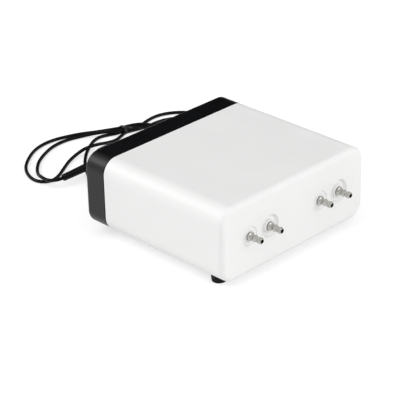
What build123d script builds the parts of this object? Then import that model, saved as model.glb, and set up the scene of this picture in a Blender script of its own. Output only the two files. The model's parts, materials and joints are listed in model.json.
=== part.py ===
from build123d import *
from math import cos, pi, radians, sin, tan
import os

# Aquarium air pump with four outlets. All sizes are in millimetres.
# X runs to the right seen from the outlets, Y runs to the rear and Z runs up. The origin lies
# on the surface that the pump stands on, midway between the outlet tips and the rear face.

# Housing
body_width = 150.0
shell_depth = 120.0
cover_depth = 19.5
shell_height = 58.0
corner_radius = 12.0
front_edge_radius = 4.0
cover_edge_radius = 2.5
wall = 2.5
front_wall = 3.0
gasket_thickness = 0.8
gasket_inset = 0.4
gasket_width = 1.6
foot_height = 6.0

# Outlets
outlet_spacing = 20.6
outlet_inset = 27.86
outlet_reach = 11.5
recess_radius = 9.1
recess_depth = 2.2
slight_recess_radius = 7.4
slight_recess_depth = 0.7
recess_slope = 40.0
seat_radius = 5.2
seat_depth = 0.3
pad_thickness = 2.5
pad_margin = 1.9
shank_radius = 3.0
collar_radius = 3.4
collar_thickness = 1.2
stem_radius = 2.1
rib_radius = 2.7
land_radius = 2.5
land_length = 2.0
nose_length = 0.9
nose_radius = 1.9
outlet_bore = 1.5
seal_thickness = 0.4
seal_radius = 3.3

# Feet and intake in the floor of the shell
foot_radius = 5.4
foot_top_radius = 5.9
stem_foot_radius = 2.5
bulb_radius = 3.8
bulb_height = 2.0
front_foot_inset = 13.6
front_foot_back = 17.0
rear_foot_inset = 27.0
rear_foot_ahead = 6.0
intake_y = -20.0
intake_radius = 15.0
intake_flange = 2.5
intake_flange_thickness = 1.2
intake_ring_wall = 1.3
intake_ring_height = 7.0
slot_width = 2.0
slot_pitch = 4.0
felt_thickness = 5.5

# Cover screws and their bosses
boss_radius = 4.5
boss_inset = 5.5
boss_length = 22.0
cover_screw_radius = 1.5
cover_screw_head_radius = 2.9
cover_screw_head = 2.4
cover_screw_sink = 7.0
cover_screw_grip = 14.0
screw_clearance = 0.2
thread_clearance = 0.05

# Chassis plate on its isolators
plate_thickness = 2.0
plate_front_margin = 5.0
plate_step_margin = 5.0
plate_rear_margin = 7.0
plate_side_gap = 3.5
plate_boss_gap = 2.5
floor_boss_radius = 5.0
floor_boss_height = 2.0
isolator_head_gap = 2.0
isolator_front_back = 7.0
isolator_side_inset = 8.0
isolator_rear_ahead = 20.0
isolator_radius = 5.0
isolator_neck = 3.5
isolator_lower = 3.5
isolator_upper = 2.5
isolator_bore = 1.7
fit_clearance = 0.1
small_screw_radius = 1.5
small_screw_head_radius = 2.8
small_screw_head = 1.9

# Electromagnet
core_side = 16.0
core_end = 8.0
core_ahead = 6.5
bobbin_plate_gap = 2.6
bobbin_flange = 2.0
bobbin_wall = 1.2
winding_inset = 2.0
bracket_width = 5.0
bracket_band = 4.0
bracket_foot_length = 8.0
bracket_foot = 3.0

# Swing arms, one on each side
pivot_cord_gap = 10.5
arm_thickness = 4.0
arm_past_head = 10.0
arm_eye_radius = 6.0
bush_wall = 1.5
pin_radius = 2.0
running_clearance = 0.05
ear_gap = 0.5
ear_thickness = 3.0
ear_screw_gap = 4.2
ear_radius = 5.5
bracket_wall_gap = 1.8
bracket_base_length = 11.0
pin_overhang = 3.0
magnet_thickness = 4.5
magnet_side = 16.0
magnet_rim = 1.6
magnet_air_gap = 2.5

# Pump heads, one on each side
head_back = 46.0
head_wall_gap = 5.5
head_plate_gap = 0.6
head_roof_gap = 6.9
clamp_gap = 4.0
clamp_thickness = 2.5
clamp_rim = 7.0
diaphragm_thickness = 2.0
diaphragm_inset = 2.0
diaphragm_fold_gap = 0.5
diaphragm_fold_width = 2.7
disc_fold_gap = 0.8
disc_thickness = 1.5
stud_radius = 1.5
stud_nut_radius = 2.9
stud_nut = 2.0
chamber_wall = 5.5
chamber_depth = 7.0
chamber_floor = 3.0
head_gasket = 1.0
cap_depth = 10.5
cap_wall = 2.0
room_end_wall = 6.0
room_side_wall = 5.0
room_rib = 2.0
bolt_inset = 3.5
bolt_radius = 1.5
bolt_head_radius = 2.7
bolt_head = 2.0
nut_radius = 2.9
nut_thickness = 2.4
bolt_tail = 0.8
valve_shift = 1.0
valve_drop = 1.0
valve_hole_radius = 2.0
flap_side_gap = 3.0
flap_end_gap = 8.0
flap_thickness = 0.7
flap_gap = 0.3
nipple_radius = 2.4
nipple_bore = 1.4
nipple_length = 5.5
intake_hole_radius = 2.5
hose_wall = 1.5
hose_bend = 4.75

# Manifold behind each pair of outlets
manifold_depth = 11.0
manifold_half_height = 8.0
manifold_end = 5.0
manifold_bore = 4.0
manifold_end_wall = 3.2
shank_past_wall = 1.5

# Mains cord, its gland, clamp and plug
cord_diameter = 2.8
gland_rise = 10.0
gland_hole_radius = 4.0
gland_flange_radius = 5.6
gland_flange = 1.5
gland_tail_length = 25.0
gland_tail_root = 4.2
gland_tail_tip = 2.2
gland_groove = 0.5
gland_grooves = 5
inner_cord_length = 9.0
clamp_bar_length = 20.0
clamp_bar_width = 6.0
clamp_bar_height = 3.0
clamp_screw_offset = 7.0
wire_radius = 0.8
crimp_radius = 1.6
crimp_length = 5.0
crimp_offset = 2.2
wire_side = 10.0
wire_lift = 6.0
wire_back = 14.0
bundle_left_x = 51.0
bundle_right_x = 71.0
bundle_y = 181.5
bundle_width = 7.2
bundle_height = 7.2
hank_height = 5.6
tie_x = 60.0
tie_width = 4.0
tie_thickness = 0.7
tie_tail_length = 8.0
plug_x = -37.0
plug_y = 146.6
plug_turn = radians(2)
plug_width = 21.0
plug_height = 13.0
plug_length = 24.0
plug_shoulder = 8.0
plug_corner = 3.0
plug_taper = 38.0
plug_tail_tip = 2.8
plug_tail_root = 3.5
blade_spacing = 12.7
blade_width = 6.3
blade_thickness = 1.5
blade_length = 16.0
blade_root = 8.0

# Places worked out from the sizes above
front_y = (outlet_reach - shell_depth - cover_depth) / 2
seam_y = front_y + shell_depth
rim_y = seam_y - gasket_thickness
rear_y = seam_y + cover_depth
under_z = foot_height
floor_z = under_z + wall
mid_z = under_z + shell_height / 2
top_z = under_z + shell_height
roof_z = top_z - wall
inside_x = body_width / 2 - wall
inner_front_y = front_y + front_wall
pad_y = inner_front_y + pad_thickness
inner_face_y = rear_y - wall
boss_x = inside_x - boss_inset
boss_zs = (floor_z + boss_inset, roof_z - boss_inset)
boss_places = [(side * boss_x, z) for side in (-1, 1) for z in boss_zs]
front_foot_x = body_width / 2 - front_foot_inset
front_foot_places = [(side * front_foot_x, front_y + front_foot_back) for side in (-1, 1)]
rear_foot_x = body_width / 2 - rear_foot_inset
rear_foot_places = [(side * rear_foot_x, rim_y - rear_foot_ahead) for side in (-1, 1)]
floor_boss_z = floor_z + floor_boss_height
plate_z = floor_boss_z + isolator_lower
plate_top = plate_z + plate_thickness

# The heads fill the height between the plate and the roof, and the outlets line up with them.
head_half_width = (roof_z - head_roof_gap - plate_top - head_plate_gap) / 2
works_z = plate_top + head_plate_gap + head_half_width
outlet_z = works_z
outer_outlet_x = body_width / 2 - outlet_inset
inner_outlet_x = outer_outlet_x - outlet_spacing
pair_offset = (inner_outlet_x + outer_outlet_x) / 2
outlet_xs = (-outer_outlet_x, -inner_outlet_x, inner_outlet_x, outer_outlet_x)
full_recess_xs = (-inner_outlet_x, outer_outlet_x)
slight_recess_xs = (-outer_outlet_x, inner_outlet_x)

# From the side walls inwards: heads, diaphragms, arms, magnets and core.
cap_end_x = inside_x - head_wall_gap
cap_x = cap_end_x - cap_depth
nipple_x = (cap_x + cap_end_x) / 2
valve_x = cap_x - head_gasket
chamber_x = valve_x - chamber_floor
head_x = chamber_x - chamber_depth
diaphragm_x = head_x - diaphragm_thickness
clamp_x = diaphragm_x - clamp_thickness
arm_outer_x = clamp_x - clamp_gap
arm_inner_x = arm_outer_x - arm_thickness
magnet_x = arm_inner_x - magnet_thickness
core_length = 2 * (magnet_x - magnet_air_gap)
bobbin_length = core_length - 2 * core_end
pivot_x = (arm_inner_x + arm_outer_x) / 2
gland_x = -pivot_x
gland_z = under_z + gland_rise

# From the front to the rear: manifolds, heads, core and pivots.
inner_cord_y = inner_face_y - gland_flange - inner_cord_length
manifold_mid_y = pad_y + manifold_depth / 2
manifold_inner_x = inner_outlet_x - manifold_end
manifold_outer_x = outer_outlet_x + manifold_end
head_y = front_y + head_back
head_front_y = head_y - head_half_width
head_rear_y = head_y + head_half_width
pivot_y = inner_cord_y - crimp_length - pivot_cord_gap
core_y = (head_y + pivot_y) / 2 - core_ahead
arm_front_y = head_y - arm_past_head

# Sizes inside the heads and round the core
bolt_offset = head_half_width - bolt_inset
clamp_opening = head_half_width - clamp_rim
diaphragm_radius = head_half_width - diaphragm_inset
diaphragm_fold_outer = clamp_opening - diaphragm_fold_gap
diaphragm_fold_inner = diaphragm_fold_outer - diaphragm_fold_width
disc_radius = diaphragm_fold_inner - disc_fold_gap
chamber_radius = head_half_width - chamber_wall
room_half_height = head_half_width - room_end_wall
room_width = head_half_width - room_side_wall - room_rib / 2
valve_offset = (room_rib + room_width) / 2 - valve_shift
flap_width = room_width - 2 * flap_side_gap
flap_length = 2 * (room_half_height - flap_end_gap)
bobbin_flange_side = 2 * (works_z - plate_top - bobbin_plate_gap)
winding_side = bobbin_flange_side - 2 * winding_inset
ear_z = plate_top + bracket_foot + small_screw_head + ear_screw_gap
arm_height = 2 * (works_z - ear_z - ear_thickness - ear_gap)

# The plate reaches past the heads and the pivots, and its corners keep off the bosses.
plate_front_y = head_front_y - plate_front_margin
plate_step_y = head_rear_y + plate_step_margin
plate_rear_y = pivot_y + plate_rear_margin
plate_half_width = inside_x - plate_side_gap
plate_rear_half_width = boss_x - boss_radius - plate_boss_gap
isolator_front_x = clamp_x - isolator_head_gap - isolator_radius
isolator_front_y = plate_front_y + isolator_front_back
isolator_rear_x = plate_rear_half_width - isolator_side_inset
isolator_rear_y = plate_rear_y - isolator_rear_ahead
isolator_places = [
    (side * x, y)
    for side in (-1, 1)
    for x, y in ((isolator_front_x, isolator_front_y), (isolator_rear_x, isolator_rear_y))
]

os.makedirs("parts", exist_ok=True)


def save(part, name):
    """Labels a finished piece and writes it to its own file."""
    part.label = name
    export_step(part, "parts/" + name + ".step")


def cord_path_radii(points):
    """The largest smooth bend at each inner point of a cord's route."""
    radii = []
    for before, here, after in zip(points, points[1:], points[2:]):
        arriving = Vector(*here) - Vector(*before)
        leaving = Vector(*after) - Vector(*here)
        turn = radians(arriving.get_angle(leaving))
        shorter = min(arriving.length, leaving.length)
        radii.append(0.45 * shorter / tan(turn / 2))
    return radii


# The hollow inside the shell, rounded at the front like the outside.
with BuildPart() as shell_hollow:
    with BuildSketch(Plane.XZ.offset(-inner_front_y)):
        with Locations((0, mid_z)):
            RectangleRounded(body_width - 2 * wall, shell_height - 2 * wall, corner_radius - wall)
    extrude(amount=-shell_depth)
    fillet(shell_hollow.faces().sort_by(Axis.Y)[0].edges(), front_edge_radius - wall)

# White shell: one moulding, open to the rear, with recesses for the outlets.
with BuildPart() as main_shell:
    with BuildSketch(Plane.XZ.offset(-front_y)):
        with Locations((0, mid_z)):
            RectangleRounded(body_width, shell_height, corner_radius)
    extrude(amount=-(shell_depth - gasket_thickness))
    fillet(main_shell.faces().sort_by(Axis.Y)[0].edges(), front_edge_radius)
    add(shell_hollow.part, mode=Mode.SUBTRACT)
    # Pads behind the outlets, which the manifolds seat on.
    with BuildSketch(Plane.XZ.offset(-inner_front_y)):
        with Locations((-pair_offset, outlet_z), (pair_offset, outlet_z)):
            SlotCenterToCenter(outlet_spacing, 2 * (recess_radius + pad_margin))
    extrude(amount=-pad_thickness)
    # Bosses for the cover screws, in the four corners.
    with BuildSketch(Plane.XZ.offset(-rim_y)):
        with Locations(*boss_places):
            Circle(boss_radius)
    extrude(amount=boss_length)
    # Bosses under the isolators.
    with BuildSketch(Plane.XY.offset(floor_z)):
        with Locations(*isolator_places):
            Circle(floor_boss_radius)
    extrude(amount=floor_boss_height)
    # Recesses round the outlets, the second of each pair full and the first slight. Each leaves a
    # seat in its middle.
    for xs, radius, depth in (
        (full_recess_xs, recess_radius, recess_depth),
        (slight_recess_xs, slight_recess_radius, slight_recess_depth),
    ):
        with BuildSketch(Plane.XZ.offset(-front_y)):
            with Locations(*[(x, outlet_z) for x in xs]):
                Circle(radius)
        extrude(amount=-depth, taper=recess_slope, mode=Mode.SUBTRACT)
        with BuildSketch(Plane.XZ.offset(-(front_y + depth))):
            with Locations(*[(x, outlet_z) for x in xs]):
                Circle(seat_radius)
        extrude(amount=depth - seat_depth)
    # Holes for the outlets.
    with BuildSketch(Plane.XZ.offset(-front_y)):
        with Locations(*[(x, outlet_z) for x in outlet_xs]):
            Circle(shank_radius + fit_clearance)
    extrude(amount=-(front_wall + pad_thickness), mode=Mode.SUBTRACT)
    # Pilot holes in the corner bosses.
    with BuildSketch(Plane.XZ.offset(-rim_y)):
        with Locations(*boss_places):
            Circle(cover_screw_radius + thread_clearance)
    extrude(amount=boss_length - wall, mode=Mode.SUBTRACT)
    # Pilot holes for the chassis screws.
    with BuildSketch(Plane.XY.offset(floor_boss_z)):
        with Locations(*isolator_places):
            Circle(small_screw_radius + thread_clearance)
    extrude(amount=-(floor_boss_height + wall / 2), mode=Mode.SUBTRACT)
    # Holes for the feet and the air intake.
    with BuildSketch(Plane.XY.offset(under_z)):
        with Locations(*front_foot_places, *rear_foot_places):
            Circle(stem_foot_radius + fit_clearance)
        with Locations((0, intake_y)):
            Circle(intake_radius)
    extrude(amount=wall, mode=Mode.SUBTRACT)
save(main_shell.part, "main_shell")

# The hollow inside the rear cover.
with BuildPart() as cover_hollow:
    with BuildSketch(Plane.XZ.offset(-seam_y)):
        with Locations((0, mid_z)):
            RectangleRounded(body_width - 2 * wall, shell_height - 2 * wall, corner_radius - wall)
    extrude(amount=-(cover_depth - wall))

# Black rear cover with sleeves for its screws and a post under the cord.
with BuildPart() as rear_cover:
    with BuildSketch(Plane.XZ.offset(-seam_y)):
        with Locations((0, mid_z)):
            RectangleRounded(body_width, shell_height, corner_radius)
    extrude(amount=-cover_depth)
    fillet(rear_cover.faces().sort_by(Axis.Y)[-1].edges(), cover_edge_radius)
    add(cover_hollow.part, mode=Mode.SUBTRACT)
    with BuildSketch(Plane.XZ.offset(-seam_y)):
        with Locations(*boss_places):
            Circle(boss_radius)
    extrude(amount=-(cover_depth - wall / 2))
    with BuildSketch(Plane.XZ.offset(-seam_y)):
        with Locations(*boss_places):
            Circle(cover_screw_radius + screw_clearance)
    extrude(amount=-cover_depth, mode=Mode.SUBTRACT)
    with BuildSketch(Plane.XZ.offset(-rear_y)):
        with Locations(*boss_places):
            Circle(cover_screw_head_radius + screw_clearance)
    extrude(amount=cover_screw_sink, mode=Mode.SUBTRACT)
    with BuildSketch(Plane.XZ.offset(-rear_y)):
        with Locations((gland_x, gland_z)):
            Circle(gland_hole_radius + fit_clearance)
    extrude(amount=wall, mode=Mode.SUBTRACT)
    post_height = gland_z - cord_diameter / 2 - floor_z
    with BuildSketch(Plane.XY.offset(floor_z)):
        with Locations((gland_x, inner_face_y - inner_cord_length / 2)):
            Rectangle(clamp_bar_length, clamp_bar_width)
    extrude(amount=post_height)
    with BuildSketch(Plane.XY.offset(floor_z + post_height)):
        with Locations(
            (gland_x - clamp_screw_offset, inner_face_y - inner_cord_length / 2),
            (gland_x + clamp_screw_offset, inner_face_y - inner_cord_length / 2),
        ):
            Circle(small_screw_radius + thread_clearance)
    extrude(amount=-post_height, mode=Mode.SUBTRACT)
save(rear_cover.part, "rear_cover")

# Seam gasket between the shell's rim and the cover.
with BuildPart() as cover_gasket:
    with BuildSketch(Plane.XZ.offset(-rim_y)):
        with Locations((0, mid_z)):
            RectangleRounded(
                body_width - 2 * gasket_inset,
                shell_height - 2 * gasket_inset,
                corner_radius - gasket_inset,
            )
            RectangleRounded(
                body_width - 2 * gasket_inset - 2 * gasket_width,
                shell_height - 2 * gasket_inset - 2 * gasket_width,
                corner_radius - gasket_inset - gasket_width,
                mode=Mode.SUBTRACT,
            )
    extrude(amount=-gasket_thickness)
save(cover_gasket.part, "cover_gasket")

# Cover screws, driven from the rear into the corner bosses.
cover_screw_seat = rear_y - cover_screw_sink
with BuildPart() as cover_screws:
    with BuildSketch(Plane.XZ.offset(-cover_screw_seat)):
        with Locations(*boss_places):
            Circle(cover_screw_radius)
    extrude(amount=cover_screw_seat - rim_y + cover_screw_grip)
    with BuildSketch(Plane.XZ.offset(-cover_screw_seat)):
        with Locations(*boss_places):
            Circle(cover_screw_head_radius)
    extrude(amount=-cover_screw_head)
    # Cross recess in each head.
    with BuildSketch(Plane.XZ.offset(-(cover_screw_seat + cover_screw_head))):
        with Locations(*boss_places):
            Rectangle(cover_screw_head_radius * 1.2, cover_screw_radius / 2)
            Rectangle(cover_screw_radius / 2, cover_screw_head_radius * 1.2)
    extrude(amount=cover_screw_head / 2, mode=Mode.SUBTRACT)
save(cover_screws.part, "cover_screws")

# Rubber feet: tapered pads below the shell, with stems through its floor and bulbs inside.
with BuildPart() as feet:
    for place in front_foot_places + rear_foot_places:
        with BuildSketch(Plane.XY):
            with Locations(place):
                Circle(foot_radius)
        with BuildSketch(Plane.XY.offset(under_z)):
            with Locations(place):
                Circle(foot_top_radius)
        loft()
    fillet(feet.edges().group_by(Axis.Z)[0], bulb_height / 4)
    with BuildSketch(Plane.XY.offset(under_z)):
        with Locations(*front_foot_places, *rear_foot_places):
            Circle(stem_foot_radius)
    extrude(amount=wall)
    with BuildSketch(Plane.XY.offset(floor_z)):
        with Locations(*front_foot_places, *rear_foot_places):
            Circle(bulb_radius)
    extrude(amount=bulb_height)
save(feet.part, "feet")

# Intake cover: a slotted cap pushed into the floor, with a ring that holds the felt.
with BuildPart() as intake_cover:
    with BuildSketch(Plane.XY.offset(under_z)):
        with Locations((0, intake_y)):
            Circle(intake_radius + intake_flange)
    extrude(amount=-intake_flange_thickness)
    with BuildSketch(Plane.XY.offset(under_z)):
        with Locations((0, intake_y)):
            Circle(intake_radius - fit_clearance)
            Circle(intake_radius - fit_clearance - intake_ring_wall, mode=Mode.SUBTRACT)
    extrude(amount=intake_ring_height)
    slot_half = 0.7 * (intake_radius - intake_ring_wall)
    slot_count = 2 * int(slot_half / slot_pitch) + 1
    with BuildSketch(Plane.XY.offset(under_z)):
        with Locations((0, intake_y)):
            with GridLocations(slot_pitch, 0, slot_count, 1):
                SlotOverall(1.4 * slot_half, slot_width, rotation=90)
    extrude(amount=-intake_flange_thickness, mode=Mode.SUBTRACT)
save(intake_cover.part, "intake_cover")

# Felt pad that filters the air.
with BuildPart() as filter_pad:
    with BuildSketch(Plane.XY.offset(under_z)):
        with Locations((0, intake_y)):
            Circle(intake_radius - 2 * fit_clearance - intake_ring_wall)
    extrude(amount=felt_thickness)
save(filter_pad.part, "filter_pad")

# Outlets: each barb is one turned piece with a threaded shank into its manifold.
seat_y = front_y + seat_depth
tip_y = front_y - outlet_reach
collar_y = seat_y - seal_thickness - collar_thickness
land_y = tip_y + nose_length + land_length
rib_y = (collar_y + land_y) / 2
shank_end_y = pad_y + manifold_depth / 2 - manifold_bore + shank_past_wall
outlet_names = ("outlet_far_left", "outlet_inner_left", "outlet_inner_right", "outlet_far_right")
for name, x in zip(outlet_names, outlet_xs):
    with BuildPart() as outlet:
        with BuildSketch(Plane.XY.offset(outlet_z)):
            with BuildLine():
                Polyline(
                    (x, tip_y),
                    (x + nose_radius, tip_y),
                    (x + land_radius, tip_y + nose_length),
                    (x + land_radius, land_y),
                    (x + stem_radius, land_y + nose_length / 2),
                    (x + stem_radius, rib_y - nose_length),
                    (x + rib_radius, rib_y),
                    (x + rib_radius, rib_y + nose_length / 2),
                    (x + stem_radius, rib_y + nose_length),
                    (x + stem_radius, collar_y),
                    (x + collar_radius, collar_y),
                    (x + collar_radius, seat_y - seal_thickness),
                    (x + shank_radius, seat_y - seal_thickness),
                    (x + shank_radius, shank_end_y),
                    (x, shank_end_y),
                    close=True,
                )
            make_face()
        revolve(axis=Axis((x, 0, outlet_z), (0, 1, 0)))
        with BuildSketch(Plane.XZ.offset(-tip_y)):
            with Locations((x, outlet_z)):
                Circle(outlet_bore)
        extrude(amount=-(shank_end_y - tip_y), mode=Mode.SUBTRACT)
    save(outlet.part, name)

# Seal rings under the four collars.
with BuildPart() as outlet_seals:
    with BuildSketch(Plane.XZ.offset(-seat_y)):
        with Locations(*[(x, outlet_z) for x in outlet_xs]):
            Circle(seal_radius)
            Circle(shank_radius + fit_clearance, mode=Mode.SUBTRACT)
    extrude(amount=seal_thickness)
save(outlet_seals.part, "outlet_seals")

# Chassis plate that carries the works, with an opening over the felt.
with BuildPart() as chassis_plate:
    with BuildSketch(Plane.XY.offset(plate_z)):
        with Locations((0, (plate_front_y + plate_step_y) / 2)):
            Rectangle(2 * plate_half_width, plate_step_y - plate_front_y)
        with Locations((0, (plate_step_y + plate_rear_y) / 2)):
            Rectangle(2 * plate_rear_half_width, plate_rear_y - plate_step_y)
        with Locations(*isolator_places):
            Circle(isolator_neck + fit_clearance, mode=Mode.SUBTRACT)
        with Locations((0, intake_y)):
            Circle(intake_radius, mode=Mode.SUBTRACT)
    extrude(amount=plate_thickness)
    corner_edges = chassis_plate.edges().filter_by(Axis.Z).filter_by(GeomType.LINE)
    fillet(corner_edges.group_by(Axis.Y)[0], floor_boss_radius)

# Rubber isolators: spools that the plate hangs in.
with BuildPart() as isolators:
    with BuildSketch(Plane.XY.offset(floor_boss_z)):
        with Locations(*isolator_places):
            Circle(isolator_radius)
    extrude(amount=isolator_lower)
    with BuildSketch(Plane.XY.offset(plate_z)):
        with Locations(*isolator_places):
            Circle(isolator_neck)
    extrude(amount=plate_thickness)
    with BuildSketch(Plane.XY.offset(plate_top)):
        with Locations(*isolator_places):
            Circle(isolator_radius)
    extrude(amount=isolator_upper)
    with BuildSketch(Plane.XY.offset(floor_boss_z)):
        with Locations(*isolator_places):
            Circle(isolator_bore)
    extrude(amount=isolator_lower + plate_thickness + isolator_upper, mode=Mode.SUBTRACT)
save(isolators.part, "isolators")

# Screws through the isolators.
isolator_top = plate_top + isolator_upper
with BuildPart() as chassis_screws:
    with BuildSketch(Plane.XY.offset(floor_z)):
        with Locations(*isolator_places):
            Circle(small_screw_radius)
    extrude(amount=isolator_top - floor_z)
    with BuildSketch(Plane.XY.offset(isolator_top)):
        with Locations(*isolator_places):
            Circle(isolator_neck + fit_clearance * 3)
    extrude(amount=small_screw_head)
save(chassis_screws.part, "chassis_screws")

# Electromagnet: a laminated bar, a bobbin round its middle and the winding on it.
half_core = core_side / 2
with BuildPart() as magnet_core:
    with BuildSketch(Plane.YZ.offset(-core_length / 2)):
        with Locations((core_y, works_z)):
            Rectangle(core_side, core_side)
    extrude(amount=core_length)
save(magnet_core.part, "magnet_core")

bobbin_hole = core_side + 2 * fit_clearance
bobbin_tube = bobbin_hole + 2 * bobbin_wall
with BuildPart() as bobbin:
    with BuildSketch(Plane.YZ.offset(-bobbin_length / 2)):
        with Locations((core_y, works_z)):
            Rectangle(bobbin_tube, bobbin_tube)
    extrude(amount=bobbin_length)
    with BuildSketch(
        Plane.YZ.offset(-bobbin_length / 2),
        Plane.YZ.offset(bobbin_length / 2 - bobbin_flange),
    ):
        with Locations((core_y, works_z)):
            RectangleRounded(bobbin_flange_side, bobbin_flange_side, bobbin_flange)
    extrude(amount=bobbin_flange)
    with BuildSketch(Plane.YZ.offset(-bobbin_length / 2)):
        with Locations((core_y, works_z)):
            Rectangle(bobbin_hole, bobbin_hole)
    extrude(amount=bobbin_length, mode=Mode.SUBTRACT)
save(bobbin.part, "bobbin")

winding_length = bobbin_length - 2 * bobbin_flange - 2 * fit_clearance
with BuildPart() as winding:
    with BuildSketch(Plane.YZ.offset(-winding_length / 2)):
        with Locations((core_y, works_z)):
            RectangleRounded(winding_side, winding_side, bobbin_flange * 2)
            Rectangle(
                bobbin_tube + 2 * fit_clearance,
                bobbin_tube + 2 * fit_clearance,
                mode=Mode.SUBTRACT,
            )
    extrude(amount=winding_length)
save(winding.part, "winding")

# Brackets that hold the bar to the plate, one beyond each end of the bobbin.
bracket_x = bobbin_length / 2 + bracket_width / 2 + 1.5
bracket_hole = core_side + 2 * fit_clearance
bracket_outer = bracket_hole + 2 * bracket_band
bracket_foot_y = bracket_outer / 2 + bracket_foot_length / 2
core_screw_places = [
    (side * bracket_x, core_y + way * bracket_foot_y) for side in (-1, 1) for way in (-1, 1)
]
with BuildPart() as core_brackets:
    for side in (-1, 1):
        with BuildSketch(Plane.XY.offset(plate_top)):
            with Locations((side * bracket_x, core_y)):
                Rectangle(bracket_width, bracket_outer + 2 * bracket_foot_length)
        extrude(amount=bracket_foot)
        with BuildSketch(Plane.XY.offset(plate_top)):
            with Locations((side * bracket_x, core_y)):
                Rectangle(bracket_width, bracket_outer)
        extrude(amount=works_z + half_core + bracket_band - plate_top)
        with BuildSketch(Plane.YZ.offset(side * bracket_x - bracket_width / 2)):
            with Locations((core_y, works_z)):
                Rectangle(bracket_hole, bracket_hole)
        extrude(amount=bracket_width, mode=Mode.SUBTRACT)
    with BuildSketch(Plane.XY.offset(plate_top)):
        with Locations(*core_screw_places):
            Circle(small_screw_radius + thread_clearance)
    extrude(amount=bracket_foot, mode=Mode.SUBTRACT)
save(core_brackets.part, "core_brackets")

# The swing arms, pump heads, valves and manifolds, mirrored from side to side.
ear_top_z = works_z + arm_height / 2 + ear_gap
pivot_wall_x = pivot_x + arm_eye_radius + bracket_wall_gap
pivot_screw_places = []
head_screw_places = []
seat_side = magnet_side + 2 * magnet_rim
base_x = pivot_wall_x - bracket_base_length / 2
for side in (-1, 1):
    pivot_screw_places += [(side * base_x, pivot_y + way * ear_radius / 2) for way in (-1, 1)]

with BuildPart() as pivot_brackets:
    for side in (-1, 1):
        with BuildSketch(Plane.XY.offset(ear_z), Plane.XY.offset(ear_top_z)):
            with Locations((side * pivot_x, pivot_y)):
                Circle(ear_radius)
            with Locations((side * (pivot_x + pivot_wall_x + ear_thickness) / 2, pivot_y)):
                Rectangle(pivot_wall_x + ear_thickness - pivot_x, 2 * ear_radius)
        extrude(amount=ear_thickness)
        with BuildSketch(Plane.XY.offset(plate_top)):
            with Locations((side * (pivot_wall_x + ear_thickness / 2), pivot_y)):
                Rectangle(ear_thickness, 2 * ear_radius)
        extrude(amount=ear_top_z + ear_thickness - plate_top)
        with BuildSketch(Plane.XY.offset(plate_top)):
            with Locations((side * base_x, pivot_y)):
                Rectangle(bracket_base_length, 2 * ear_radius)
        extrude(amount=bracket_foot)
        with BuildSketch(Plane.XY.offset(ear_z)):
            with Locations((side * pivot_x, pivot_y)):
                Circle(pin_radius + running_clearance)
        extrude(amount=ear_top_z + ear_thickness - ear_z, mode=Mode.SUBTRACT)
    with BuildSketch(Plane.XY.offset(plate_top)):
        with Locations(*pivot_screw_places):
            Circle(small_screw_radius + thread_clearance)
    extrude(amount=bracket_foot, mode=Mode.SUBTRACT)
save(pivot_brackets.part, "pivot_brackets")

with BuildPart() as pivot_pins:
    with BuildSketch(Plane.XY.offset(ear_z - pin_overhang / 2)):
        with Locations((-pivot_x, pivot_y), (pivot_x, pivot_y)):
            Circle(pin_radius)
    extrude(amount=ear_top_z + ear_thickness - ear_z + pin_overhang / 2)
    with BuildSketch(Plane.XY.offset(ear_top_z + ear_thickness)):
        with Locations((-pivot_x, pivot_y), (pivot_x, pivot_y)):
            Circle(pin_radius + 1)
    extrude(amount=pin_overhang / 2)
save(pivot_pins.part, "pivot_pins")

bolt_places = [
    (head_y + way * bolt_offset, works_z + up * bolt_offset) for way in (-1, 1) for up in (-1, 1)
]
room_places = [(head_y + way * (room_rib + room_width) / 2, works_z) for way in (-1, 1)]

# Ring plates that clamp the rims of the diaphragms.
with BuildPart() as clamp_plates:
    for side in (-1, 1):
        with BuildSketch(Plane.YZ.offset(side * clamp_x)):
            with Locations((head_y, works_z)):
                Rectangle(2 * head_half_width, 2 * head_half_width)
                Circle(clamp_opening, mode=Mode.SUBTRACT)
            with Locations(*bolt_places):
                Circle(bolt_radius + fit_clearance, mode=Mode.SUBTRACT)
        extrude(amount=side * clamp_thickness)
        # Raised rim round the diaphragm's edge, which meets the head.
        with BuildSketch(Plane.YZ.offset(side * diaphragm_x)):
            with Locations((head_y, works_z)):
                Rectangle(2 * head_half_width, 2 * head_half_width)
                Circle(diaphragm_radius + fit_clearance, mode=Mode.SUBTRACT)
            with Locations(*bolt_places):
                Circle(bolt_radius + fit_clearance, mode=Mode.SUBTRACT)
        extrude(amount=side * diaphragm_thickness)
save(clamp_plates.part, "clamp_plates")

with BuildPart() as head_gaskets:
    for side in (-1, 1):
        with BuildSketch(Plane.YZ.offset(side * valve_x)):
            with Locations((head_y, works_z)):
                Rectangle(2 * head_half_width, 2 * head_half_width)
            with Locations(*room_places):
                Rectangle(room_width, 2 * room_half_height, mode=Mode.SUBTRACT)
            with Locations(*bolt_places):
                Circle(bolt_radius + fit_clearance, mode=Mode.SUBTRACT)
        extrude(amount=side * head_gasket)
save(head_gaskets.part, "head_gaskets")

# Through bolts with their heads on the clamp plates, and nuts on the caps.
with BuildPart() as head_bolts:
    for side in (-1, 1):
        with BuildSketch(Plane.YZ.offset(side * clamp_x)):
            with Locations(*bolt_places):
                Circle(bolt_radius)
        extrude(amount=side * (cap_end_x + nut_thickness + bolt_tail - clamp_x))
        with BuildSketch(Plane.YZ.offset(side * clamp_x)):
            with Locations(*bolt_places):
                Circle(bolt_head_radius)
        extrude(amount=-side * bolt_head)
save(head_bolts.part, "head_bolts")

with BuildPart() as head_nuts:
    for side in (-1, 1):
        with BuildSketch(Plane.YZ.offset(side * cap_end_x)):
            with Locations(*bolt_places):
                RegularPolygon(nut_radius, 6)
                Circle(bolt_radius + thread_clearance, mode=Mode.SUBTRACT)
        extrude(amount=side * nut_thickness)
save(head_nuts.part, "head_nuts")

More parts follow.
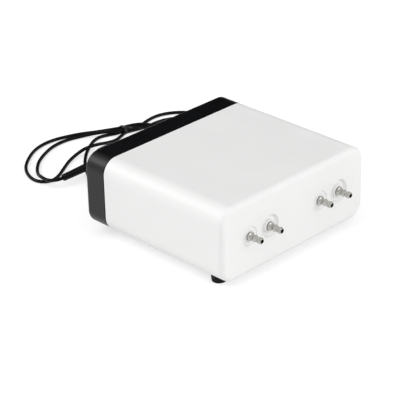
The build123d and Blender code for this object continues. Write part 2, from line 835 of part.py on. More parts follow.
# Moulded elbow hoses from the nipples of the heads to those of the manifolds.
with BuildPart() as air_elbows:
    for side in (-1, 1):
        hose_start = (side * nipple_x, head_front_y - fit_clearance, works_z)
        hose_corner = (side * nipple_x, manifold_mid_y, works_z)
        hose_end = (side * (manifold_outer_x + fit_clearance), manifold_mid_y, works_z)
        with BuildLine():
            FilletPolyline(hose_start, hose_corner, hose_end, radius=hose_bend)
        with BuildSketch(Plane(origin=hose_start, z_dir=(0, -1, 0))):
            Circle(nipple_radius + fit_clearance + hose_wall)
            Circle(nipple_radius + fit_clearance, mode=Mode.SUBTRACT)
        sweep()
save(air_elbows.part, "air_elbows")

for side, name in ((-1, "left"), (1, "right")):

    with BuildPart() as arm:
        with BuildSketch(Plane.XY.offset(works_z - arm_height / 2)):
            with Locations((side * (arm_inner_x + arm_thickness / 2), (arm_front_y + pivot_y) / 2)):
                Rectangle(arm_thickness, pivot_y - arm_front_y)
            with Locations((side * pivot_x, pivot_y)):
                Circle(arm_eye_radius)
        extrude(amount=arm_height)
        # Seat round the magnet.
        with BuildSketch(Plane.YZ.offset(side * arm_inner_x)):
            with Locations((core_y, works_z)):
                Rectangle(seat_side, seat_side)
        extrude(amount=side * arm_thickness)
        with BuildSketch(Plane.YZ.offset(side * arm_inner_x)):
            with Locations((core_y, works_z)):
                Rectangle(seat_side, seat_side)
                Rectangle(
                    magnet_side + 2 * fit_clearance,
                    magnet_side + 2 * fit_clearance,
                    mode=Mode.SUBTRACT,
                )
        extrude(amount=-side * magnet_rim)
        # Bore for the bush and hole for the stud.
        with BuildSketch(Plane.XY.offset(works_z - arm_height / 2)):
            with Locations((side * pivot_x, pivot_y)):
                Circle(pin_radius + running_clearance + bush_wall + running_clearance)
        extrude(amount=arm_height, mode=Mode.SUBTRACT)
        with BuildSketch(Plane.YZ.offset(side * arm_inner_x)):
            with Locations((head_y, works_z)):
                Circle(stud_radius + running_clearance)
        extrude(amount=side * arm_thickness, mode=Mode.SUBTRACT)
    save(arm.part, name + "_arm")

    with BuildPart() as bush:
        with BuildSketch(Plane.XY.offset(works_z - arm_height / 2)):
            with Locations((side * pivot_x, pivot_y)):
                Circle(pin_radius + running_clearance + bush_wall)
                Circle(pin_radius + running_clearance, mode=Mode.SUBTRACT)
        extrude(amount=arm_height)
    save(bush.part, name + "_arm_bush")

    with BuildPart() as magnet:
        with BuildSketch(Plane.YZ.offset(side * magnet_x)):
            with Locations((core_y, works_z)):
                Rectangle(magnet_side, magnet_side)
        extrude(amount=side * magnet_thickness)
    save(magnet.part, name + "_magnet")

    # Diaphragm: a flat clamped rim, a raised fold and a flat middle.
    fold_rise = disc_thickness
    with BuildPart() as diaphragm:
        with BuildSketch(Plane.XY.offset(works_z)):
            inner_x = side * diaphragm_x
            outer_x = side * (diaphragm_x + diaphragm_thickness)
            fold_x = side * fold_rise
            with BuildLine():
                Polyline(
                    (inner_x, head_y + stud_radius + running_clearance),
                    (inner_x, head_y + diaphragm_fold_inner),
                    (inner_x + fold_x, head_y + (diaphragm_fold_inner + diaphragm_fold_outer) / 2),
                    (inner_x, head_y + diaphragm_fold_outer),
                    (inner_x, head_y + diaphragm_radius),
                    (outer_x, head_y + diaphragm_radius),
                    (outer_x, head_y + diaphragm_fold_outer + fold_rise / 2),
                    (outer_x + fold_x, head_y + (diaphragm_fold_inner + diaphragm_fold_outer) / 2),
                    (outer_x, head_y + diaphragm_fold_inner - fold_rise / 3),
                    (outer_x, head_y + stud_radius + running_clearance),
                    close=True,
                )
            make_face()
        revolve(axis=Axis((0, head_y, works_z), (1, 0, 0)))
    save(diaphragm.part, name + "_diaphragm")

    # Stud from the arm through the diaphragm, with discs on both faces of its middle.
    stud_end_x = diaphragm_x + diaphragm_thickness + disc_thickness
    with BuildPart() as stud:
        with BuildSketch(Plane.YZ.offset(side * (arm_inner_x - stud_nut))):
            with Locations((head_y, works_z)):
                Circle(stud_radius)
        extrude(amount=side * (stud_end_x + disc_thickness / 2 - arm_inner_x + stud_nut))
        with BuildSketch(Plane.YZ.offset(side * (arm_inner_x - stud_nut))):
            with Locations((head_y, works_z)):
                RegularPolygon(stud_nut_radius, 6)
        extrude(amount=side * stud_nut)
        with BuildSketch(Plane.YZ.offset(side * arm_outer_x)):
            with Locations((head_y, works_z)):
                Circle(stud_nut_radius)
        extrude(amount=side * (diaphragm_x - disc_thickness - arm_outer_x))
        with BuildSketch(Plane.YZ.offset(side * stud_end_x)):
            with Locations((head_y, works_z)):
                Circle(stud_nut_radius)
        extrude(amount=side * disc_thickness / 2)
        with BuildSketch(
            Plane.YZ.offset(side * diaphragm_x),
            Plane.YZ.offset(side * (diaphragm_x + diaphragm_thickness + disc_thickness)),
        ):
            with Locations((head_y, works_z)):
                Circle(disc_radius)
        extrude(amount=-side * disc_thickness)
    save(stud.part, name + "_diaphragm_stud")

    # Head body: the pumping chamber, its valve wall and a foot down to the plate.
    with BuildPart() as head_body:
        with BuildSketch(Plane.YZ.offset(side * head_x)):
            with Locations((head_y, works_z)):
                Rectangle(2 * head_half_width, 2 * head_half_width)
        extrude(amount=side * (valve_x - head_x))
        foot_rise = works_z - head_half_width - plate_top
        with BuildSketch(Plane.XY.offset(plate_top)):
            with Locations((side * (head_x + valve_x) / 2, head_y)):
                Rectangle(valve_x - head_x, 2 * head_half_width)
        extrude(amount=foot_rise)
        with BuildSketch(Plane.YZ.offset(side * head_x)):
            with Locations((head_y, works_z)):
                Circle(chamber_radius)
        extrude(amount=side * chamber_depth, mode=Mode.SUBTRACT)
        with BuildSketch(Plane.YZ.offset(side * chamber_x)):
            with Locations(
                (head_y - valve_offset, works_z - valve_drop), (head_y + valve_offset, works_z - valve_drop)
            ):
                Circle(valve_hole_radius)
        extrude(amount=side * chamber_floor, mode=Mode.SUBTRACT)
        with BuildSketch(Plane.YZ.offset(side * head_x)):
            with Locations(*bolt_places):
                Circle(bolt_radius + fit_clearance)
        extrude(amount=side * (valve_x - head_x), mode=Mode.SUBTRACT)
        head_places = [
            (side * (head_x + valve_x) / 2, head_y + way * (bolt_offset - 2 * bolt_inset)) for way in (-1, 1)
        ]
        head_screw_places += head_places
        with BuildSketch(Plane.XY.offset(plate_top)):
            with Locations(*head_places):
                Circle(small_screw_radius + thread_clearance)
        extrude(amount=foot_rise + bolt_inset / 2, mode=Mode.SUBTRACT)
    save(head_body.part, name + "_head_body")

    # Head cap: an exhaust room with a nipple to the front and an intake room open to the rear.
    with BuildPart() as head_cap:
        with BuildSketch(Plane.YZ.offset(side * cap_x)):
            with Locations((head_y, works_z)):
                Rectangle(2 * head_half_width, 2 * head_half_width)
        extrude(amount=side * cap_depth)
        fillet(
            head_cap.faces().sort_by(Axis.X)[-1 if side > 0 else 0].edges(),
            cap_wall,
        )
        with BuildSketch(Plane.XZ.offset(-head_front_y)):
            with Locations((side * nipple_x, works_z)):
                Circle(nipple_radius)
        extrude(amount=nipple_length)
        with BuildSketch(Plane.YZ.offset(side * cap_x)):
            with Locations(*room_places):
                Rectangle(room_width, 2 * room_half_height)
        extrude(amount=side * (cap_depth - cap_wall), mode=Mode.SUBTRACT)
        with BuildSketch(Plane.XZ.offset(-(head_front_y - nipple_length))):
            with Locations((side * nipple_x, works_z)):
                Circle(nipple_bore)
        extrude(amount=-(nipple_length + 2 * bolt_inset), mode=Mode.SUBTRACT)
        with BuildSketch(Plane.XZ.offset(-(head_y + head_half_width))):
            with Locations((side * nipple_x, works_z)):
                Circle(intake_hole_radius)
        extrude(amount=2 * bolt_inset, mode=Mode.SUBTRACT)
        with BuildSketch(Plane.YZ.offset(side * cap_x)):
            with Locations(*bolt_places):
                Circle(bolt_radius + fit_clearance)
        extrude(amount=side * cap_depth, mode=Mode.SUBTRACT)
    save(head_cap.part, name + "_head_cap")

    # Rubber flaps: the intake flap lies on the chamber's side of the wall, the exhaust flap
    # on the cap's side. Each swings about its upper end.
    flap_mid_z = works_z - valve_drop
    intake_flap_x = chamber_x - flap_gap - flap_thickness
    with BuildPart() as intake_flap:
        with BuildSketch(Plane.YZ.offset(side * intake_flap_x)):
            with Locations((head_y + valve_offset, flap_mid_z)):
                Rectangle(flap_width, flap_length)
        extrude(amount=side * flap_thickness)
    save(intake_flap.part, name + "_intake_flap")

    with BuildPart() as exhaust_flap:
        with BuildSketch(Plane.YZ.offset(side * (valve_x + flap_gap))):
            with Locations((head_y - valve_offset, flap_mid_z)):
                Rectangle(flap_width, flap_length)
        extrude(amount=side * flap_thickness)
    save(exhaust_flap.part, name + "_exhaust_flap")

    # Manifold: a block with a closed chamber that both outlets of the pair screw into.
    with BuildPart() as manifold:
        with BuildSketch(Plane.XZ.offset(-pad_y)):
            with Locations((side * (manifold_inner_x + manifold_outer_x) / 2, outlet_z)):
                RectangleRounded(
                    manifold_outer_x - manifold_inner_x, 2 * manifold_half_height, manifold_bore / 2
                )
        extrude(amount=-manifold_depth)
        with BuildSketch(Plane.YZ.offset(side * manifold_outer_x)):
            with Locations((manifold_mid_y, outlet_z)):
                Circle(nipple_radius)
        extrude(amount=side * nipple_length)
        chamber_length = manifold_outer_x - manifold_inner_x - 2 * manifold_end_wall
        with BuildSketch(Plane.YZ.offset(side * (manifold_inner_x + manifold_end_wall))):
            with Locations((manifold_mid_y, outlet_z)):
                Circle(manifold_bore)
        extrude(amount=side * chamber_length, mode=Mode.SUBTRACT)
        with BuildSketch(Plane.YZ.offset(side * (manifold_outer_x + nipple_length))):
            with Locations((manifold_mid_y, outlet_z)):
                Circle(nipple_bore)
        extrude(amount=-side * (nipple_length + manifold_end_wall), mode=Mode.SUBTRACT)
        with BuildSketch(Plane.XZ.offset(-pad_y)):
            with Locations(
                (side * (pair_offset - outlet_spacing / 2), outlet_z),
                (side * (pair_offset + outlet_spacing / 2), outlet_z),
            ):
                Circle(shank_radius + thread_clearance)
        extrude(amount=-manifold_depth / 2, mode=Mode.SUBTRACT)
    save(manifold.part, name + "_manifold")

# The chassis plate gets its screw holes, and is finished.
with BuildPart() as drilled_plate:
    add(chassis_plate.part)
    with BuildSketch(Plane.XY.offset(plate_z)):
        with Locations(*core_screw_places, *pivot_screw_places, *head_screw_places):
            Circle(small_screw_radius + thread_clearance)
    extrude(amount=plate_thickness, mode=Mode.SUBTRACT)
save(drilled_plate.part, "chassis_plate")

# Screws that hold the core brackets and the pivot brackets down.
bracket_screw_places = core_screw_places + pivot_screw_places
with BuildPart() as bracket_screws:
    with BuildSketch(Plane.XY.offset(plate_z - 1)):
        with Locations(*bracket_screw_places):
            Circle(small_screw_radius)
    extrude(amount=plate_thickness + bracket_foot + 1)
    with BuildSketch(Plane.XY.offset(plate_top + bracket_foot)):
        with Locations(*bracket_screw_places):
            Circle(bracket_width / 2)
    extrude(amount=small_screw_head)
save(bracket_screws.part, "bracket_screws")

# Head screws come up from under the plate.
with BuildPart() as head_screws:
    with BuildSketch(Plane.XY.offset(plate_z)):
        with Locations(*head_screw_places):
            Circle(small_screw_radius)
    extrude(amount=plate_thickness + works_z - head_half_width - plate_top + bolt_inset / 3)
    with BuildSketch(Plane.XY.offset(plate_z)):
        with Locations(*head_screw_places):
            Circle(small_screw_head_radius)
    extrude(amount=-small_screw_head)
save(head_screws.part, "head_screws")

# Cord gland: moulded onto the cord, gripped by the cover's wall, with a grooved tail.
gland_tip_y = rear_y + gland_flange + gland_tail_length
with BuildPart() as cord_gland:
    with BuildSketch(Plane.XY.offset(gland_z)):
        with BuildLine():
            Polyline(
                (gland_x, inner_face_y - gland_flange),
                (gland_x + gland_flange_radius, inner_face_y - gland_flange),
                (gland_x + gland_flange_radius, inner_face_y),
                (gland_x + gland_hole_radius, inner_face_y),
                (gland_x + gland_hole_radius, rear_y),
                (gland_x + gland_flange_radius, rear_y),
                (gland_x + gland_flange_radius, rear_y + gland_flange),
                (gland_x + gland_tail_root, rear_y + gland_flange),
                (gland_x + gland_tail_tip, gland_tip_y),
                (gland_x, gland_tip_y),
                close=True,
            )
        make_face()
    revolve(axis=Axis((gland_x, 0, gland_z), (0, 1, 0)))
    # Grooves round the tail, which let it bend.
    groove_pitch = gland_tail_length / (gland_grooves + 1)
    for groove in range(1, gland_grooves + 1):
        groove_y = rear_y + gland_flange + groove * groove_pitch
        share = groove / (gland_grooves + 1)
        tail_radius = gland_tail_root + share * (gland_tail_tip - gland_tail_root)
        with BuildSketch(Plane.XZ.offset(-(groove_y + gland_groove))):
            with Locations((gland_x, gland_z)):
                Circle(gland_flange_radius)
                Circle(tail_radius - gland_groove, mode=Mode.SUBTRACT)
        extrude(amount=2 * gland_groove, mode=Mode.SUBTRACT)
save(cord_gland.part, "cord_gland")

# End of the cord inside the cover, and the bar that clamps it to its post.
with BuildPart() as inner_cord:
    with BuildSketch(Plane.XZ.offset(-inner_cord_y)):
        with Locations((gland_x, gland_z)):
            Circle(cord_diameter / 2)
    extrude(amount=-inner_cord_length)
save(inner_cord.part, "inner_cord")

clamp_bar_y = inner_face_y - inner_cord_length / 2
clamp_screw_places = [
    (gland_x - clamp_screw_offset, clamp_bar_y), (gland_x + clamp_screw_offset, clamp_bar_y)
]
with BuildPart() as cord_clamp:
    with BuildSketch(Plane.XY.offset(gland_z - cord_diameter / 2 + fit_clearance)):
        with Locations((gland_x, clamp_bar_y)):
            Rectangle(clamp_bar_length, clamp_bar_width)
    extrude(amount=cord_diameter + clamp_bar_height)
    with BuildSketch(Plane.XY.offset(gland_z - cord_diameter / 2 + fit_clearance)):
        with Locations((gland_x, clamp_bar_y)):
            Rectangle(cord_diameter + 2 * fit_clearance, clamp_bar_width)
    extrude(amount=cord_diameter, mode=Mode.SUBTRACT)
    with BuildSketch(Plane.XY.offset(gland_z - cord_diameter / 2)):
        with Locations(*clamp_screw_places):
            Circle(small_screw_radius + thread_clearance)
    extrude(amount=cord_diameter + clamp_bar_height + 1, mode=Mode.SUBTRACT)
save(cord_clamp.part, "cord_clamp")

clamp_top = gland_z + cord_diameter / 2 + fit_clearance + clamp_bar_height
with BuildPart() as clamp_screws:
    with BuildSketch(Plane.XY.offset(clamp_top)):
        with Locations(*clamp_screw_places):
            Circle(small_screw_radius)
    extrude(amount=-(cord_diameter + clamp_bar_height + post_height / 2))
    with BuildSketch(Plane.XY.offset(clamp_top)):
        with Locations(*clamp_screw_places):
            Circle(small_screw_head_radius)
    extrude(amount=small_screw_head)
save(clamp_screws.part, "clamp_screws")

# The coil's lead wires, with the crimps that join them to the cord's two cores.
coil_rear_y = core_y + winding_side / 2
with BuildPart() as lead_wires:
    for way in (-1, 1):
        crimp_x = gland_x + way * crimp_offset
        coil_x = way * 2 * crimp_offset
        wire_points = [
            (crimp_x, inner_cord_y - crimp_length, gland_z),
            (crimp_x, inner_cord_y - crimp_length - 3.6, gland_z + 2.4 - 0.8 * way),
            (crimp_x + wire_side, inner_cord_y - crimp_length - 3.4, gland_z + wire_lift - 0.8 * way),
            (coil_x - wire_lift, coil_rear_y + wire_back, works_z - wire_lift),
            (coil_x, coil_rear_y + 6, works_z + 2),
            (coil_x, coil_rear_y, works_z + 2),
        ]
        with BuildLine():
            FilletPolyline(*wire_points, radius=wire_radius * 1.8)
        with BuildSketch(Plane(origin=wire_points[0], z_dir=(0, -1, 0))):
            Circle(wire_radius)
        sweep()
    with BuildSketch(Plane.XZ.offset(-inner_cord_y)):
        with Locations((gland_x - crimp_offset, gland_z), (gland_x + crimp_offset, gland_z)):
            Circle(crimp_radius)
    extrude(amount=crimp_length)
save(lead_wires.part, "lead_wires")

# The cord's free stretch: down from the gland to the floor and on to the hank.
lead_z = cord_diameter / 2 + 0.05
lead_points = [
    (gland_x, gland_tip_y, gland_z),
    (-34.4, 112.0, 14.8),
    (-31.0, 121.4, 11.2),
    (-25.4, 129.8, 6.6),
    (-18.6, 137.0, lead_z + 1.4),
    (-13.0, 145.0, lead_z),
    (-7.6, 153.4, lead_z),
    (-1.4, 161.2, lead_z),
    (5.6, 168.4, lead_z),
    (14.2, 176.2, lead_z),
]
lead_radii = cord_path_radii(lead_points)
print("lead radii", [round(r, 1) for r in lead_radii])
with BuildPart() as cord_lead:
    with BuildLine() as lead_line:
        FilletPolyline(*lead_points, radius=lead_radii)
    lead_start = Vector(*lead_points[1]) - Vector(*lead_points[0])
    with BuildSketch(Plane(origin=lead_points[0], z_dir=lead_start)):
        Circle(cord_diameter / 2)
    sweep()
lead_length = sum(edge.length for edge in lead_line.edges())
print("lead volume", round(cord_lead.part.volume), round(pi * cord_diameter**2 / 4 * lead_length))
save(cord_lead.part, "cord_lead")

# The hank: loops fanned to the left, the tied bundle, and loops to the right.
left_loop_outline = [
    (58.0, 185.1), (56.0, 189.6), (52.0, 196.6), (44.6, 203.0), (34.6, 207.7), (23.0, 211.7),
    (11.0, 214.8), (-6.0, 214.5), (-24.5, 206.0), (-36.7, 196.2), (-46.3, 181.8), (-50.3, 166.5),
    (-49.0, 158.5), (-44.5, 154.8), (-35.0, 154.2), (-23.4, 159.8), (-10.6, 169.4), (2.0, 174.8),
    (14.0, 174.6), (36.0, 173.0), (47.4, 173.6), (54.0, 176.6), (58.0, 177.9),
]
left_window = [
    (37.6, 191.4), (29.4, 196.8), (16.0, 201.4), (-6.0, 197.8), (-24.6, 188.5), (-35.7, 177.4),
    (-41.5, 165.0), (-35.0, 160.4), (-24.6, 165.4), (-12.0, 173.8), (2.0, 179.6), (13.0, 179.4),
    (22.0, 184.6), (31.0, 189.6),
]
left_gap = [
    (24.6, 179.4), (33.0, 184.6), (40.0, 186.0), (46.4, 183.2), (49.8, 181.0), (45.6, 178.4),
    (36.0, 177.4),
]
right_loop_outline = [
    (64.0, 185.1), (72.0, 183.6), (80.0, 184.5), (89.6, 187.7), (100.4, 189.3), (111.4, 187.3),
    (120.4, 181.2), (128.0, 171.8), (133.2, 159.6), (136.3, 145.2), (134.2, 126.3), (125.6, 110.4),
    (110.0, 101.6), (94.6, 106.2), (85.0, 120.0), (81.0, 137.5), (79.0, 153.0), (74.6, 168.6),
    (68.6, 175.6), (62.0, 177.9),
]
right_window = [
    (80.0, 175.4), (93.0, 175.6), (101.6, 173.6), (109.4, 168.8), (115.8, 161.2), (119.6, 151.8),
    (121.0, 141.0), (119.2, 128.8), (113.8, 119.6), (106.2, 116.8), (99.6, 121.4), (94.4, 132.6),
    (92.0, 145.0), (90.4, 158.0), (86.8, 168.0),
]
right_gap = [
    (84.0, 179.9), (91.0, 183.0), (100.4, 184.6), (109.0, 182.8), (116.4, 177.6), (122.0, 170.6),
    (119.8, 165.6), (112.4, 172.6), (103.4, 177.8), (93.0, 179.8),
]
with BuildPart() as cord_hank:
    with BuildSketch(Plane.XY):
        with BuildLine():
            Polyline(*left_loop_outline, close=True)
        make_face()
        with BuildLine():
            Polyline(*right_loop_outline, close=True)
        make_face()
        with BuildLine():
            Polyline(*left_window, close=True)
        make_face(mode=Mode.SUBTRACT)
        with BuildLine():
            Polyline(*left_gap, close=True)
        make_face(mode=Mode.SUBTRACT)
        with BuildLine():
            Polyline(*right_window, close=True)
        make_face(mode=Mode.SUBTRACT)
        with BuildLine():
            Polyline(*right_gap, close=True)
        make_face(mode=Mode.SUBTRACT)
    extrude(amount=hank_height)
    with BuildSketch(Plane.XY):
        with Locations(((bundle_left_x + bundle_right_x) / 2, bundle_y)):
            Rectangle(bundle_right_x - bundle_left_x, bundle_width)
    extrude(amount=bundle_height - 2 * tie_thickness)
    # Waist inside the tie.
    with BuildSketch(Plane.XY):
        with Locations((tie_x, bundle_y)):
            Rectangle(tie_width + 2 * fit_clearance, 3 * bundle_width)
            Rectangle(
                tie_width + 2 * fit_clearance,
                bundle_width - 2 * tie_thickness - 2 * fit_clearance,
                mode=Mode.SUBTRACT,
            )
    extrude(amount=bundle_height, mode=Mode.SUBTRACT)
    with BuildSketch(Plane.XY):
        with Locations((tie_x, bundle_y)):
            Rectangle(tie_width + 2 * fit_clearance, bundle_width)
    extrude(amount=tie_thickness + fit_clearance, mode=Mode.SUBTRACT)
save(cord_hank.part, "cord_hank")

# Twist tie round the bundle, with its twisted ends lying over the strands.
with BuildPart() as twist_tie:
    with BuildSketch(Plane.YZ.offset(tie_x - tie_width / 2)):
        with Locations((bundle_y, bundle_height / 2)):
            Rectangle(bundle_width, bundle_height)
            Rectangle(
                bundle_width - 2 * tie_thickness, bundle_height - 2 * tie_thickness, mode=Mode.SUBTRACT
            )
    extrude(amount=tie_width)
    tail_start = Vector(tie_x, bundle_y, bundle_height - tie_thickness / 2)
    tail_direction = Vector(0.35, -0.93, 0.0).normalized()
    with BuildSketch(Plane(origin=tail_start, z_dir=tail_direction)):
        Circle(tie_thickness)
    extrude(amount=tie_tail_length)
save(twist_tie.part, "twist_tie")

# The plug: body, tapered tail and two flat blades along one axis.
plug_plane = Plane(
    origin=(plug_x, plug_y, plug_height / 2), x_dir=(0, 0, 1), z_dir=(cos(plug_turn), sin(plug_turn), 0)
)


def along_plug(distance):
    """The plane across the plug's axis, at a distance from the tail's thin end."""
    return plug_plane.offset(distance)


with BuildPart() as plug_body:
    with BuildSketch(along_plug(0)):
        Circle(plug_tail_tip)
    with BuildSketch(along_plug(plug_taper)):
        Circle(plug_tail_root)
    loft()
    with BuildSketch(along_plug(plug_taper)):
        RectangleRounded(plug_tail_root * 2, plug_tail_root * 2, plug_tail_root / 2)
    with BuildSketch(along_plug(plug_taper + plug_shoulder)):
        RectangleRounded(plug_height, plug_width, plug_corner)
    loft()
    with BuildSketch(along_plug(plug_taper + plug_shoulder)):
        RectangleRounded(plug_height, plug_width, plug_corner)
    extrude(amount=plug_length - plug_shoulder)
    for way in (-1, 1):
        with BuildSketch(along_plug(plug_taper + plug_length - blade_root)):
            with Locations((0, way * blade_spacing / 2)):
                Rectangle(blade_width + 2 * thread_clearance, blade_thickness + 2 * thread_clearance)
        extrude(amount=blade_root, mode=Mode.SUBTRACT)
save(plug_body.part, "plug")

with BuildPart() as plug_blades:
    for way in (-1, 1):
        with BuildSketch(along_plug(plug_taper + plug_length - blade_root)):
            with Locations((0, way * blade_spacing / 2)):
                Rectangle(blade_width, blade_thickness)
        extrude(amount=blade_root + blade_length)
save(plug_blades.part, "plug_blades")

# The cord's last stretch, from the hank to the plug's tail.
plug_tail_end = plug_plane.origin
tail_points = [
    (-45.8, 158.8, 3.4),
    (-46.0, 152.4, 4.8),
    (-43.0, 148.0, 5.9),
    (-39.4, 146.6, 6.4),
    (plug_tail_end.X, plug_tail_end.Y, plug_tail_end.Z),
]
tail_radii = cord_path_radii(tail_points)
print("tail radii", [round(r, 1) for r in tail_radii])
with BuildPart() as cord_tail:
    with BuildLine() as tail_line:
        FilletPolyline(*tail_points, radius=tail_radii)
    tail_start = Vector(*tail_points[1]) - Vector(*tail_points[0])
    with BuildSketch(Plane(origin=tail_points[0], z_dir=tail_start)):
        Circle(cord_diameter / 2)
    sweep()
tail_length = sum(edge.length for edge in tail_line.edges())
print("tail volume", round(cord_tail.part.volume), round(pi * cord_diameter**2 / 4 * tail_length))
save(cord_tail.part, "cord_tail")
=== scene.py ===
import json
import math

import bmesh
import bpy
from mathutils import Matrix, Vector


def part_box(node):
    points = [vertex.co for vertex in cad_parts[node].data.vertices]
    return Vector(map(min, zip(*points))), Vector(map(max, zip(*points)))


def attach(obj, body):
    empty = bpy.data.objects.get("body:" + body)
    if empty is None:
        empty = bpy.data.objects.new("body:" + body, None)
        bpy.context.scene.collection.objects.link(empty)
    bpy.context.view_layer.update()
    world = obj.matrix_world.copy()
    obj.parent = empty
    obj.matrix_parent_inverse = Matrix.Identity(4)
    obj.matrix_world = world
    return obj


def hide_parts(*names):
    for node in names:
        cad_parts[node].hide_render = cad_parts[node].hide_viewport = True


bl_info = {
    "name": "Aquarium air pump",
    "version": (1, 0, 0),
    "blender": (4, 5, 0),
    "location": "3D View > Sidebar > Air Pump",
    "description": "Dresses the air pump: housing, barbed outlets, works, mains cord and stage",
    "category": "Object",
}

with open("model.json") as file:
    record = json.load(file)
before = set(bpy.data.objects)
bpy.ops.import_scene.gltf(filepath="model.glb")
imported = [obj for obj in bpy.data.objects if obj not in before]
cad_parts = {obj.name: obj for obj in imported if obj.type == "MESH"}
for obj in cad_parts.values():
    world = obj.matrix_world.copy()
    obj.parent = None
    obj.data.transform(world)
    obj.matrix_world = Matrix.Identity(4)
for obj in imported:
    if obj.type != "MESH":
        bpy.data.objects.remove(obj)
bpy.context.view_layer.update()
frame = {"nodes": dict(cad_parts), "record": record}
nodes = frame["nodes"]

MM = 0.001

# Places on the pump, in millimetres as on the drawing.
OUTLET_X = {"far_left": -47.14, "inner_left": -26.54, "inner_right": 26.54, "far_right": 47.14}
OUTLET_Z = 35.6
OUTLET_TIP_Y = -75.5
GLAND_TIP = (-35.0, 102.0, 16.0)
PLUG_TIP = (-37.0, 146.6, 6.5)
PLUG_TURN = math.radians(2)
TIE_CENTRE = (60.0, 181.5, 3.6)

# The camera, the lamps and the floor, in millimetres too.
CAMERA_EYE = (-835.82, -812.51, 623.88)
CAMERA_TARGET = (-30.685, 1.394, 35.02)
CAMERA_ROLL = math.radians(-1.335)
FOCAL_LENGTH = 159.65
SENSOR_WIDTH = 36.0
LEFT_LAMP_PLACE = (-1520.0, 1680.0, 1840.0)
LEFT_LAMP_WIDTH = 1600.0
FRONT_LAMP_PLACE = (700.0, -2480.0, 1020.0)
FRONT_LAMP_WIDTH = 1750.0
LAMP_TARGET = (0.0, 20.0, 40.0)
FLOOR_HALF_WIDTH = 6000.0

# The dark screen behind the pump: where it is, the cosines of the angles at which it starts and is
# full, and how much light is left there.
SCREEN_DIRECTION = (0.63, 0.63, 0.45)
SCREEN_START = 0.74
SCREEN_FULL = 0.93
SCREEN_REST = 0.02

WHITE = (1.0, 1.0, 1.0, 1.0)

# A band texture of scale 1 repeats after this length in metres.
BAND_LENGTH = 0.314

# The cord's route, laid as the hand lays it: from the gland down to the floor and into the bundle.
LEAD_ROUTE = [
    GLAND_TIP, (-34.4, 112.0, 14.8), (-31.0, 121.4, 11.2), (-25.4, 129.8, 6.6), (-18.6, 137.0, 2.85),
    (-13.0, 145.0, 1.45), (-7.6, 153.4, 1.45), (-1.4, 161.2, 1.45), (5.6, 168.4, 1.45),
    (13.6, 175.6, 1.45), (22.8, 182.0, 1.45), (32.4, 187.6, 1.45), (40.6, 189.2, 1.45),
    (48.0, 186.6, 1.45), (54.6, 183.6, 1.45),
]
# Through the bundle and once round the larger loop on the right.
RIGHT_OUTER_ROUTE = [
    (62.0, 182.7, 1.45), (70.0, 180.9, 1.45), (78.6, 180.4, 1.45), (88.0, 183.0, 1.45),
    (98.0, 184.6, 1.45), (108.0, 182.8, 1.45), (117.0, 177.4, 1.45), (124.8, 168.8, 1.45),
    (130.8, 158.0, 1.45), (133.6, 145.0, 1.45), (131.6, 127.6, 1.45), (123.6, 112.6, 1.45),
    (110.2, 103.8, 1.45), (96.6, 107.8, 1.45), (87.4, 121.0, 1.45), (84.0, 132.6, 2.6),
    (84.8, 142.8, 4.4), (87.4, 152.8, 4.4), (87.2, 163.0, 3.2), (83.0, 171.8, 3.2),
    (76.4, 178.2, 4.35), (69.0, 182.2, 4.35),
]
# Back through the bundle and round the larger loop on the left.
LEFT_OUTER_ROUTE = [
    (61.0, 184.0, 4.35), (54.2, 187.4, 4.2), (49.0, 193.8, 2.6), (42.4, 200.0, 1.45),
    (33.6, 205.4, 1.45), (23.0, 209.6, 1.45), (11.2, 213.1, 1.45), (-1.4, 213.2, 1.45),
    (-14.0, 209.4, 1.45), (-27.6, 200.6, 1.45), (-38.4, 191.2, 1.45), (-45.6, 180.2, 1.45),
    (-48.9, 169.4, 1.45), (-47.0, 161.6, 1.45), (-40.4, 157.0, 1.45), (-31.8, 158.8, 1.45),
    (-20.0, 166.0, 1.45), (-7.6, 173.6, 1.45), (4.0, 177.2, 2.4), (14.4, 177.4, 4.35),
    (25.0, 175.4, 4.35), (36.0, 174.4, 2.4), (45.8, 174.4, 1.45), (53.6, 177.2, 1.45),
]
# Through the bundle once more and round the smaller loop on the right.
RIGHT_INNER_ROUTE = [
    (60.6, 180.1, 1.45), (67.2, 178.2, 1.45), (74.8, 175.9, 1.45), (83.6, 174.7, 1.45),
    (93.0, 175.0, 1.45), (102.0, 173.0, 1.45), (110.2, 168.2, 1.45), (117.0, 160.8, 1.45),
    (121.4, 151.4, 1.45), (123.5, 141.0, 1.45), (121.4, 127.6, 1.45), (115.2, 117.4, 1.45),
    (106.0, 114.6, 1.45), (97.6, 120.0, 1.45), (91.4, 131.6, 1.45), (87.6, 142.6, 1.45),
    (84.0, 153.0, 1.45), (80.6, 163.0, 1.8), (76.2, 171.4, 3.2), (70.4, 177.0, 4.35),
    (62.0, 179.6, 4.35),
]
# Out to the left in the smaller loop, over the strand below it and into the plug.
LEFT_INNER_ROUTE = [
    (53.6, 182.4, 4.35), (46.4, 188.0, 4.4), (39.8, 195.4, 2.8), (30.8, 201.4, 1.45),
    (18.0, 205.2, 1.45), (2.4, 204.4, 1.45), (-12.0, 198.4, 1.45), (-24.6, 191.0, 1.45),
    (-34.4, 181.6, 1.45), (-41.4, 172.0, 2.4), (-45.2, 163.8, 4.6), (-46.8, 155.8, 5.3),
    (-45.6, 151.2, 5.8), (-42.8, 148.1, 6.2), (-39.2, 146.6, 6.45), PLUG_TIP,
]
CORD_ROUTE = LEAD_ROUTE + RIGHT_OUTER_ROUTE + LEFT_OUTER_ROUTE + RIGHT_INNER_ROUTE + LEFT_INNER_ROUTE


def metres(point):
    """A point given in millimetres, in metres."""
    return Vector(point) * MM


